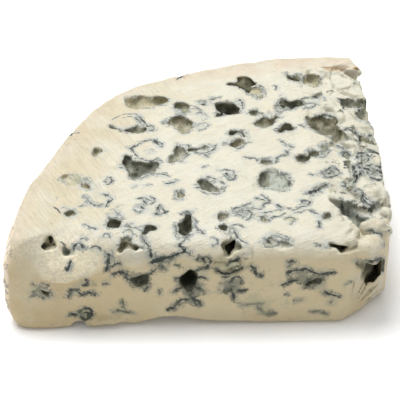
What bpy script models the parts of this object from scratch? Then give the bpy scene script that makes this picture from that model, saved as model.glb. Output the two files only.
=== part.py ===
"""Blue cheese wedge: a quarter of a slice cut from a small blue-veined wheel.

Two wire-cut faces meet at the tip, the curved side is the wheel's natural rind,
and the top is a flat cut through the paste, so it is open with cavities. The
cheese is one solid. It lies on its flat base.

Plan positions in the tables are millimetres from TIP, the place where the two
cut faces would meet if the tip weren't broken off: x runs to the left as a
negative number along the front cut, y runs to the back along the right cut,
and z runs down from the top face as a negative number.
"""

import math

import bmesh
import bpy
from mathutils import Matrix, Vector, noise

MM = 0.001

# ---- driving dimensions, millimetres ------------------------------------
HEIGHT = 27.6             # thickness of the slice
TIP = (52.9, -55.1)       # the tip's place in plan, with the box's middle at the origin
WHEEL_X, WHEEL_Y = 6.8, -17.6   # middle of the sagging wheel, seen from the tip
WHEEL_A = 111.4           # half width of the wheel across the front cut
WHEEL_B = 124.4           # half width across the right cut
SQUARENESS = 2.85         # superellipse exponent: the rind sags into a rounded square
RIND_FLATS = 1.2          # the rind has three shoulders with flats between them
FLATS_EVERY = 35.0        # degrees from one shoulder to the next
TIP_BREAK_X = 13.0        # the broken tip, measured along the front cut
TIP_BREAK_Y = 13.0        # and along the right cut
RIND_BULGE = 2.9          # the rind sags outwards below its middle
RIGHT_BULGE = 1.6         # the right cut bows out a little
CORNER_ROUND = 3.0        # length over which plan corners are softened
GRID = 26                 # cells along each side of the faces
TOP_WAVE = 0.35           # unevenness of the cut top
SIDE_WAVE = 0.35          # unevenness of the sides
ARCHES = ((-62.5, 13.0, 2.6), (-51.0, 19.0, 1.1))   # middle, half width, lift
ARCH_DEPTH = 14.0
SEED = Vector((3.7, 11.2, 5.9))

# Side profiles from the rim of the top to the rim of the base: inset, depth.
CUT_PROFILE = (
    (1.3, 0.0), (0.40, -0.35), (0.0, -1.3), (0.0, -7.0), (0.0, -13.5),
    (0.0, -20.0), (0.0, -25.9), (0.45, -27.0), (1.6, -HEIGHT),
)
RIND_PROFILE = (
    (2.2, 0.0), (0.70, -0.5), (0.0, -1.8), (-0.70 * RIND_BULGE, -7.0),
    (-0.92 * RIND_BULGE, -13.5), (-RIND_BULGE, -18.6),
    (-0.86 * RIND_BULGE, -22.6), (-0.4, -25.9), (2.8, -HEIGHT),
)

# Cavities that open through the top: x, y, length, width, turn in degrees,
# depth of the cavity's floor, and how far its walls run under the surface.
TOP_CAVITIES = (
    (-37.8, 87.6, 8.0, 6.2, -20, 5.0, 0.9),
    (-33.2, 80.6, 4.6, 2.6, 10, 2.0, 0.5),
    (-42.5, 73.3, 6.4, 6.0, 10, 5.5, 0.9),
    (-71.5, 76.6, 9.5, 3.0, -4, 3.4, 0.5),
    (-63.8, 79.4, 7.0, 2.4, 18, 2.6, 0.5),
    (-57.6, 74.4, 3.4, 3.0, -10, 2.2, 0.5),
    (-58.4, 65.6, 6.8, 6.6, -35, 4.4, 0.8),
    (-72.0, 62.4, 7.6, 2.6, 6, 3.0, 0.6),
    (-70.6, 40.6, 9.6, 8.4, 25, 6.6, 0.9),
    (-56.4, 46.9, 5.6, 6.0, 30, 3.8, 0.7),
    (-50.6, 49.6, 4.8, 2.4, -5, 2.2, 0.5),
    (-40.6, 58.3, 5.0, 3.0, 0, 2.8, 0.6),
    (-41.6, 52.6, 4.6, 2.8, 8, 2.8, 0.6),
    (-31.2, 66.4, 6.8, 4.8, -20, 3.6, 0.6),
    (-25.8, 61.2, 4.2, 3.8, -30, 3.2, 0.6),
    (-21.8, 74.8, 6.4, 4.0, -8, 4.0, 0.7),
    (-12.4, 64.6, 9.0, 8.2, -35, 5.4, 0.7),
    (-8.0, 57.6, 4.6, 5.4, -20, 4.4, 0.6),
    (-17.8, 91.2, 4.0, 2.6, -15, 2.4, 0.5),
    (-13.8, 88.6, 4.4, 2.8, -10, 2.6, 0.5),
    (-21.4, 43.8, 4.2, 2.6, 20, 2.2, 0.5),
    (-16.2, 48.4, 4.6, 2.2, 15, 2.0, 0.5),
    (-30.6, 32.6, 8.0, 8.2, -15, 2.6, 0.4),
    (-49.0, 30.2, 6.6, 5.2, -12, 3.6, 0.8),
    (-89.0, 32.8, 7.6, 4.0, -6, 1.2, 0.0),
    (-19.4, 26.8, 4.6, 2.2, 12, 2.0, 0.4),
    (-12.2, 22.6, 8.0, 3.4, -42, 4.6, 0.4),
    (-4.6, 17.6, 9.0, 4.4, -8, 4.8, 0.3),
    (-57.0, 9.8, 5.0, 6.0, 12, 5.4, 1.0),
    (-67.4, 9.2, 2.8, 2.4, 0, 2.4, 0.5),
    (-77.2, 12.4, 2.6, 2.6, 0, 2.8, 0.5),
    (-34.4, 3.6, 5.6, 3.6, 10, 1.6, 0.1),
    (-15.2, 0.4, 4.4, 3.0, 28, 3.4, 0.5),
    (-44.9, -0.2, 5.4, 6.6, 8, 7.0, 0.6),
    (-94.0, 3.0, 3.6, 3.6, 35, 3.4, 0.4),
    (-88.6, 0.6, 3.4, 3.0, -10, 3.2, 0.5),
    (-73.6, 1.8, 5.2, 2.4, 0, 2.4, 0.5),
)

# Cavities in the front cut: x, z, length, height, turn, depth.
FRONT_CAVITIES = (
    (-70.0, -11.6, 4.2, 2.8, -12, 3.2),
    (-56.6, -12.0, 3.9, 5.6, 8, 6.0),
    (-22.8, -12.9, 4.4, 2.2, 22, 2.6),
    (-44.4, -7.6, 3.8, 2.2, 12, 1.8),
    (-96.8, -14.3, 2.2, 1.8, -25, 1.6),
    (-87.4, -26.9, 4.2, 3.2, 0, 4.0),
)

# Cavities in the right cut: y, z, length, height, turn, depth.
RIGHT_CAVITIES = (
    (27.0, -9.5, 6.0, 3.6, 15, 4.0),
    (41.5, -16.0, 4.4, 3.4, -20, 3.6),
    (55.5, -8.2, 5.4, 4.0, 8, 4.2),
    (70.0, -14.6, 7.0, 3.6, -14, 4.0),
    (83.0, -8.4, 4.0, 2.8, 20, 2.8),
    (91.0, -17.5, 4.6, 2.6, 5, 2.6),
)

# Curds that stand out where the tip broke off: x, y, z, radius.
TIP_CURDS = (
    (-4.4, 8.8, -4.3, 4.4),
    (-7.6, 4.6, -4.2, 3.9),
    (-1.4, 25.6, -3.9, 3.7),
    (-1.6, 34.6, -4.5, 4.2),
)


def smooth_noise(p, scale, level=0.0):
    """Signed noise at a point given in millimetres."""
    q = Vector((p[0], p[1], p[2])) / scale + SEED * (1.0 + level)
    return noise.noise(q)


def rind_point(angle):
    """A point of the rind outline; 0 is on the front cut, 90 degrees on the right cut."""
    ray = Vector((-math.cos(angle), math.sin(angle)))
    low, high = 60.0, 160.0
    while high - low > 0.001:
        r = (low + high) / 2
        p = ray * r
        out = abs((p.x - WHEEL_X) / WHEEL_A) ** SQUARENESS + abs((p.y - WHEEL_Y) / WHEEL_B) ** SQUARENESS
        low, high = (r, high) if out < 1.0 else (low, r)
    fade = min(1.0, math.degrees(angle) / 9.0)
    wave = RIND_FLATS * math.cos(math.tau * (math.degrees(angle) - 12.0) / FLATS_EVERY)
    heel = 1.3 * max(0.0, 1.0 - math.degrees(angle) / 12.0)
    return ray * (low + wave * fade + heel)


def raw_outline(step=0.5):
    """The plan outline before its corners are softened, with the share of rind
    at each point. It runs left along the front, round the rind and home."""
    points = []

    def line(a, b, rind):
        a, b = Vector(a), Vector(b)
        n = max(2, int((b - a).length / step))
        points.extend((a.lerp(b, i / n), rind) for i in range(n))

    first, last = math.radians(0.8), math.radians(90.6)
    line((-TIP_BREAK_X, 0.0), (rind_point(0.0).x, 0.0), 0.0)
    n = int(WHEEL_A * 1.5 / step)
    points.extend((rind_point(first + (last - first) * i / n), 1.0) for i in range(n + 1))
    back = points[-1][0]
    right_start = Vector((0.5, TIP_BREAK_Y))
    n = int((back - right_start).length / step)
    for i in range(1, n):
        t = i / n
        p = back.lerp(right_start, t)
        points.append((Vector((p.x + RIGHT_BULGE * math.sin(math.pi * t), p.y)), 0.0))
    line(right_start, (-TIP_BREAK_X, 0.0), 0.0)
    return points


def resample(points, count):
    """Evenly spaced points along a closed outline, as (place, share)."""
    total, marks = 0.0, [0.0]
    closed = points + points[:1]
    for (a, _), (b, _) in zip(closed, closed[1:]):
        total += (b - a).length
        marks.append(total)
    out, j = [], 0
    for i in range(count):
        want = total * i / count
        while marks[j + 1] < want:
            j += 1
        f = (want - marks[j]) / max(1e-9, marks[j + 1] - marks[j])
        (a, wa), (b, wb) = closed[j], closed[j + 1]
        out.append((a.lerp(b, f), wa + (wb - wa) * f))
    return out, total


def soften(points, reach):
    """Rounds the corners of a dense outline with a moving average."""
    n = len(points)
    for _ in range(2):
        points = [
            (
                sum((points[(i + k) % n][0] for k in range(-reach, reach + 1)), Vector((0, 0)))
                / (2 * reach + 1),
                sum(points[(i + k) % n][1] for k in range(-reach, reach + 1)) / (2 * reach + 1),
            )
            for i in range(n)
        ]
    return points


def outline_sides():
    """The outline as four sides of GRID cells, for the front, the left rind,
    the back rind and the right cut: each corner belongs to two sides."""
    dense, total = resample(raw_outline(), 760)
    dense = soften(dense, max(1, int(CORNER_ROUND / 2 / (total / 760))))

    def nearest(x, y):
        return min(range(760), key=lambda i: (dense[i][0] - Vector((x, y))).length)

    d = rind_point(math.radians(45.8))
    marks = [
        nearest(-TIP_BREAK_X * 0.45, TIP_BREAK_Y * 0.55),
        nearest(rind_point(0.0).x, 1.0),
        nearest(d.x, d.y),
        nearest(1.8, rind_point(math.pi / 2).length - 2.5),
    ]
    ring = []
    for a, b in zip(marks, marks[1:] + marks[:1]):
        span = (b - a) % 760
        for k in range(GRID):
            f = a + span * k / GRID
            i, r = int(f), f - int(f)
            (p, wp), (q, wq) = dense[i % 760], dense[(i + 1) % 760]
            ring.append((p.lerp(q, r), wp + (wq - wp) * r))
    return ring


def outward(ring):
    n = len(ring)
    normals = []
    for i in range(n):
        t = ring[(i + 1) % n][0] - ring[i - 1][0]
        normals.append(Vector((-t.y, t.x)).normalized() * -1.0)
    # The outline runs clockwise seen from above, so turn the normals to face out.
    area = sum(
        ring[i][0].x * ring[(i + 1) % n][0].y - ring[(i + 1) % n][0].x * ring[i][0].y
        for i in range(n)
    )
    return normals if area > 0 else [-v for v in normals]


def bump(t):
    """1 at the middle, 0 at plus and minus one, smooth."""
    return 0.0 if abs(t) >= 1 else (1 - t * t) ** 2


def arch(x, y):
    """Lift of the base under the front cut, where the slice doesn't touch."""
    lift = sum(high * bump((x - middle) / half) for middle, half, high in ARCHES)
    return lift * bump(max(0.0, y) / ARCH_DEPTH)


def top_wave(x, y):
    z = TOP_WAVE * (smooth_noise((x, y, 0), 26) + 0.5 * smooth_noise((x, y, 0), 9, 1))
    # the right-hand band crumbled as it was cut, and the back rim rides up
    crumbly = max(0.0, min(1.0, (x + 16.0) / 10.0)) * max(0.0, min(1.0, (90.0 - y) / 12.0))
    z += crumbly * (-0.9 + 1.1 * smooth_noise((x, y, 0), 6.5, 2))
    z += 0.9 * bump((x + 9.0) / 14.0) * bump((y - 101.0) / 7.0)
    return z


def patch(ring):
    """Fills a ring of four equal sides with a grid, side by side (Coons)."""
    g = GRID
    front = [ring[g - k] for k in range(g + 1)]          # left to right
    left = [ring[g + k] for k in range(g + 1)]           # front to back
    back = [ring[2 * g + k] for k in range(g + 1)]       # left to right
    right = [ring[(4 * g - k) % (4 * g)] for k in range(g + 1)]
    grid = []
    for j in range(g + 1):
        v = j / g
        row = []
        for i in range(g + 1):
            u = i / g
            p = (
                (1 - v) * front[i] + v * back[i] + (1 - u) * left[j] + u * right[j]
                - (1 - u) * (1 - v) * front[0] - u * (1 - v) * front[g]
                - (1 - u) * v * back[0] - u * v * back[g]
            )
            row.append(p)
        grid.append(row)
    return grid


def placed(x, y, z):
    """From tip-corner millimetres to metres in the part's own frame."""
    return Vector(((x + TIP[0]) * MM, (y + TIP[1]) * MM, (z + HEIGHT) * MM))


def wedge_mesh():
    ring = outline_sides()
    normals = outward(ring)
    n = len(ring)
    bm = bmesh.new()
    rings = []
    for level, (cut, rind) in enumerate(zip(CUT_PROFILE, RIND_PROFILE)):
        row = []
        for (p, share), out in zip(ring, normals):
            inset = cut[0] + (rind[0] - cut[0]) * share
            z = cut[1] + (rind[1] - cut[1]) * share
            depth = -z / HEIGHT
            wall = math.sin(math.pi * min(1.0, max(0.0, depth)))
            q = p - out * inset
            wave = SIDE_WAVE * (1 + 0.9 * share) * smooth_noise((q.x, q.y, z * 1.3), 13, 3)
            q = q + out * wave * wall
            if level >= 6:
                z += arch(q.x, q.y) * (1 if level == 8 else 0.85 if level == 7 else 0.5)
            if level == 0:
                z += top_wave(q.x, q.y)
            elif level in (1, 2):
                z += top_wave(q.x, q.y) * (0.8 if level == 1 else 0.5)
            row.append((q, z))
        rings.append(row)
    verts = [[bm.verts.new(placed(q.x, q.y, z)) for q, z in row] for row in rings]
    for a, b in zip(verts, verts[1:]):
        for i in range(n):
            k = (i + 1) % n
            bm.faces.new((a[i], a[k], b[k], b[i]))

    def cap(row, ring_verts, height):
        grid = patch([q for q, _ in row])
        g = GRID
        index = {}
        for k in range(g + 1):
            index[(k, 0)] = ring_verts[g - k]
            index[(0, k)] = ring_verts[g + k]
            index[(k, g)] = ring_verts[2 * g + k]
            index[(g, k)] = ring_verts[(4 * g - k) % (4 * g)]
        for j in range(1, g):
            for i in range(1, g):
                p = grid[j][i]
                index[(i, j)] = bm.verts.new(placed(p.x, p.y, height(p.x, p.y)))
        for j in range(g):
            for i in range(g):
                bm.faces.new((index[(i, j)], index[(i + 1, j)], index[(i + 1, j + 1)], index[(i, j + 1)]))

    cap(rings[0], verts[0], top_wave)
    cap(rings[-1], verts[-1], lambda x, y: -HEIGHT + arch(x, y))
    bmesh.ops.recalc_face_normals(bm, faces=bm.faces)
    bmesh.ops.triangulate(bm, faces=bm.faces)
    # the flat of the base is one face, so that it is truly flat
    base = [v for v in bm.verts if abs(v.co.z) < 1e-6]
    edges = [e for e in bm.edges if all(abs(v.co.z) < 1e-6 for v in e.verts)]
    bmesh.ops.dissolve_limit(bm, angle_limit=math.radians(0.05), verts=base, edges=edges)
    mesh = bpy.data.meshes.new("cheese_wedge")
    bm.to_mesh(mesh)
    bm.free()
    return mesh


def pebble(name, centre, radii, turn, rough, seed, subdivisions=2):
    """A lumpy ellipsoid; radii in millimetres, turn as a rotation matrix."""
    bm = bmesh.new()
    bmesh.ops.create_icosphere(bm, subdivisions=subdivisions, radius=1.0)
    for v in bm.verts:
        d = v.co.normalized()
        w = 1.0 + rough * noise.noise(d * 1.4 + SEED * (seed + 1)) + 0.5 * rough * noise.noise(d * 3.1 + SEED * (seed + 2))
        v.co = Vector((d.x * radii[0] * w, d.y * radii[1] * w, d.z * radii[2] * w)) * MM
    bmesh.ops.transform(bm, matrix=turn, verts=bm.verts)
    bmesh.ops.translate(bm, vec=centre, verts=bm.verts)
    mesh = bpy.data.meshes.new(name)
    bm.to_mesh(mesh)
    bm.free()
    return bpy.data.objects.new(name, mesh)


def guides(name):
    """A collection of shapes that only cut or join, and aren't parts."""
    group = bpy.data.collections.new(name)
    bpy.context.scene.collection.children.link(group)
    return group


def add_guide(group, shape):
    shape.hide_render = True
    shape.display_type = "WIRE"
    group.objects.link(shape)


def boolean(target, name, operation, group):
    cut = target.modifiers.new(name, "BOOLEAN")
    cut.operation = operation
    cut.operand_type = "COLLECTION"
    cut.collection = group
    cut.solver = "EXACT"
    cut.use_self = True


def main():
    for old in list(bpy.data.objects):
        bpy.data.objects.remove(old, do_unlink=True)

    wedge = bpy.data.objects.new("cheese_wedge", wedge_mesh())
    bpy.context.scene.collection.objects.link(wedge)

    joins = guides("curd_joins")
    for k, (x, y, z, r) in enumerate(TIP_CURDS):
        add_guide(joins, pebble(f"curd_{k}", placed(x, y, z), (r, r * 0.95, r * 0.9), Matrix.Identity(4), 0.16, 40 + k))
    boolean(wedge, "curds", "UNION", joins)

    cuts = guides("cavity_cuts")
    for k, (x, y, length, width, turn, depth, under) in enumerate(TOP_CAVITIES):
        rz = depth / (1.0 + 0.30 * under)
        centre = placed(x, y, -0.30 * under * rz)
        fine = 3 if max(length, width) > 8.9 and depth > 4 else 2
        add_guide(cuts, pebble(f"cut_top_{k}", centre, (length / 2 * 1.06, width / 2 * 1.06, rz),
                               Matrix.Rotation(math.radians(turn), 4, "Z"), 0.22, k, fine))
    for k, (x, z, length, height, turn, depth) in enumerate(FRONT_CAVITIES):
        add_guide(cuts, pebble(f"cut_front_{k}", placed(x, 0.6, z), (length / 2 * 1.06, depth, height / 2 * 1.06),
                               Matrix.Rotation(math.radians(-turn), 4, "Y"), 0.22, 60 + k))
    for k, (y, z, length, height, turn, depth) in enumerate(RIGHT_CAVITIES):
        x = RIGHT_BULGE * math.sin(math.pi * (y - TIP_BREAK_Y) / (104.0 - TIP_BREAK_Y))
        add_guide(cuts, pebble(f"cut_right_{k}", placed(x, y, z), (depth, length / 2 * 1.06, height / 2 * 1.06),
                               Matrix.Rotation(math.radians(turn), 4, "X"), 0.22, 80 + k))
    # the mould-lined hollow that the broken tip laid open
    add_guide(cuts, pebble("cut_tip", placed(-4.4, 6.6, -10.4), (3.0, 4.6, 3.1),
                           Matrix.Rotation(math.radians(-47), 4, "Z"), 0.25, 99, 3))
    boolean(wedge, "cavities", "DIFFERENCE", cuts)

    paste = bpy.data.materials.new("cheese_paste")
    paste.use_nodes = True
    shader = paste.node_tree.nodes["Principled BSDF"]
    shader.inputs["Base Color"].default_value = (0.80, 0.74, 0.60, 1.0)
    shader.inputs["Roughness"].default_value = 0.5
    shader.inputs["Metallic"].default_value = 0.0
    wedge.data.materials.append(paste)
    wedge.data.shade_smooth()
    wedge.data.set_sharp_from_angle(angle=math.radians(40))


main()
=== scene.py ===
"""Looks of the blue cheese wedge.

The paste is one closed mesh: a signed distance field is built in millimetres
over the same outline as the CAD solid, cavities are carved into it, curds are
joined to it, and the zero level is meshed. Fields worked out at its vertices
then tell the material where the mould, the veins and the rind are.

Tables are in millimetres from the corner where the two cut faces would meet:
x runs left as a negative number, y runs to the back, z runs down from the top.
"""

import math

import bpy
import numpy as np
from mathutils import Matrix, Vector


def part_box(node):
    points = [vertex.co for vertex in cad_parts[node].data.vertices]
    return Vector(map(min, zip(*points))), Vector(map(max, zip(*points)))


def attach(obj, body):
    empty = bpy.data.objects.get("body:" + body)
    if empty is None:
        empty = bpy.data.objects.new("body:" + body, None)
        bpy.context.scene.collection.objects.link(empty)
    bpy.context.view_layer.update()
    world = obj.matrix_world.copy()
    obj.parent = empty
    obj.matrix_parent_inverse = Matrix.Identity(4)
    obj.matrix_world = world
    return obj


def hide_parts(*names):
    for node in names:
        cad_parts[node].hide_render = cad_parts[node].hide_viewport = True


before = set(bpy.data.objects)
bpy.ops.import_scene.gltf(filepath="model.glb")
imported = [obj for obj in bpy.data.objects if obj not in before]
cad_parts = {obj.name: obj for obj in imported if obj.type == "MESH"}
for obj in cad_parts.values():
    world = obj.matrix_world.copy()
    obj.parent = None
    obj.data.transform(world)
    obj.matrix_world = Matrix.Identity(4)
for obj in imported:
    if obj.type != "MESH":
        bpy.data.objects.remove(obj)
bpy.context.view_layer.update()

import openvdb
from mathutils import Matrix, Vector, noise

MM = 0.001
LOW, HIGH = (Vector(v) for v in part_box("cheese_wedge"))

# ---- the body, as in the CAD solid ---------------------------------------
HEIGHT = 27.6
ORIGIN = Vector((HIGH.x / MM - 2.7, LOW.y / MM + 0.18, LOW.z / MM + HEIGHT))
WHEEL_X, WHEEL_Y = 6.8, -17.6
WHEEL_A, WHEEL_B = 111.4, 124.4
SQUARENESS = 2.85
RIND_FLATS = 1.2
FLATS_EVERY = 35.0
TIP_BREAK = 13.0
RIND_BULGE = 2.9
RIGHT_BULGE = 1.6
ARCHES = ((-62.5, 13.0, 2.6), (-51.0, 19.0, 1.1))
ARCH_DEPTH = 14.0
SEED = Vector((3.7, 11.2, 5.9))
CUT_PROFILE = ((0.0, 0.0), (0.0, -25.9), (0.45, -27.0), (0.9, -HEIGHT))
RIND_PROFILE = (
    (0.6, 1.0), (0.3, -1.0), (0.0, -1.8), (-0.70 * RIND_BULGE, -7.0),
    (-0.92 * RIND_BULGE, -13.5), (-RIND_BULGE, -18.6),
    (-0.86 * RIND_BULGE, -22.6), (-0.4, -25.9), (2.0, -HEIGHT),
)

# ---- the grid that the surface is taken from ------------------------------
STEP_XY, STEP_Z = 0.40, 0.40
XS = np.arange(-110.4, 5.6, STEP_XY)
YS = np.arange(-3.2, 112.2, STEP_XY)
ZS = np.arange(-29.4, 4.2, STEP_Z)
MOST_TRIANGLES = 194000

# The shoulder between the top and the front cut is round: x, radius.
SHOULDER = ((-108, 6.5), (-99, 5.0), (-76, 4.0), (-60, 5.0), (-16, 5.0), (-10, 2.5), (-4, 1.5))
# Above it the face leans back: x, how far at the top, how deep the lean goes.
LEAN = ((-108, 2.5, 8.0), (-102, 4.4, 10.5), (-97, 6.4, 10.9), (-89.5, 7.0, 11.1), (-87.5, 6.5, 10.2), (-85.5, 6.0, 9.2),
        (-82, 5.6, 8.9), (-79, 5.0, 8.2), (-74, 4.0, 7.6), (-68, 3.4, 7.0), (-60, 2.2, 5.5), (-40, 1.8, 5.0),
        (-16, 1.8, 5.0), (-9, 0.0, 4.5), (5, 0.0, 4.5))

# Positions in the tables were set from this place, on the planes of the top
# and of the front cut. Features move along its lines of sight onto the surface.
VIEW = np.array([-58.93, -269.58, 204.50])

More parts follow.
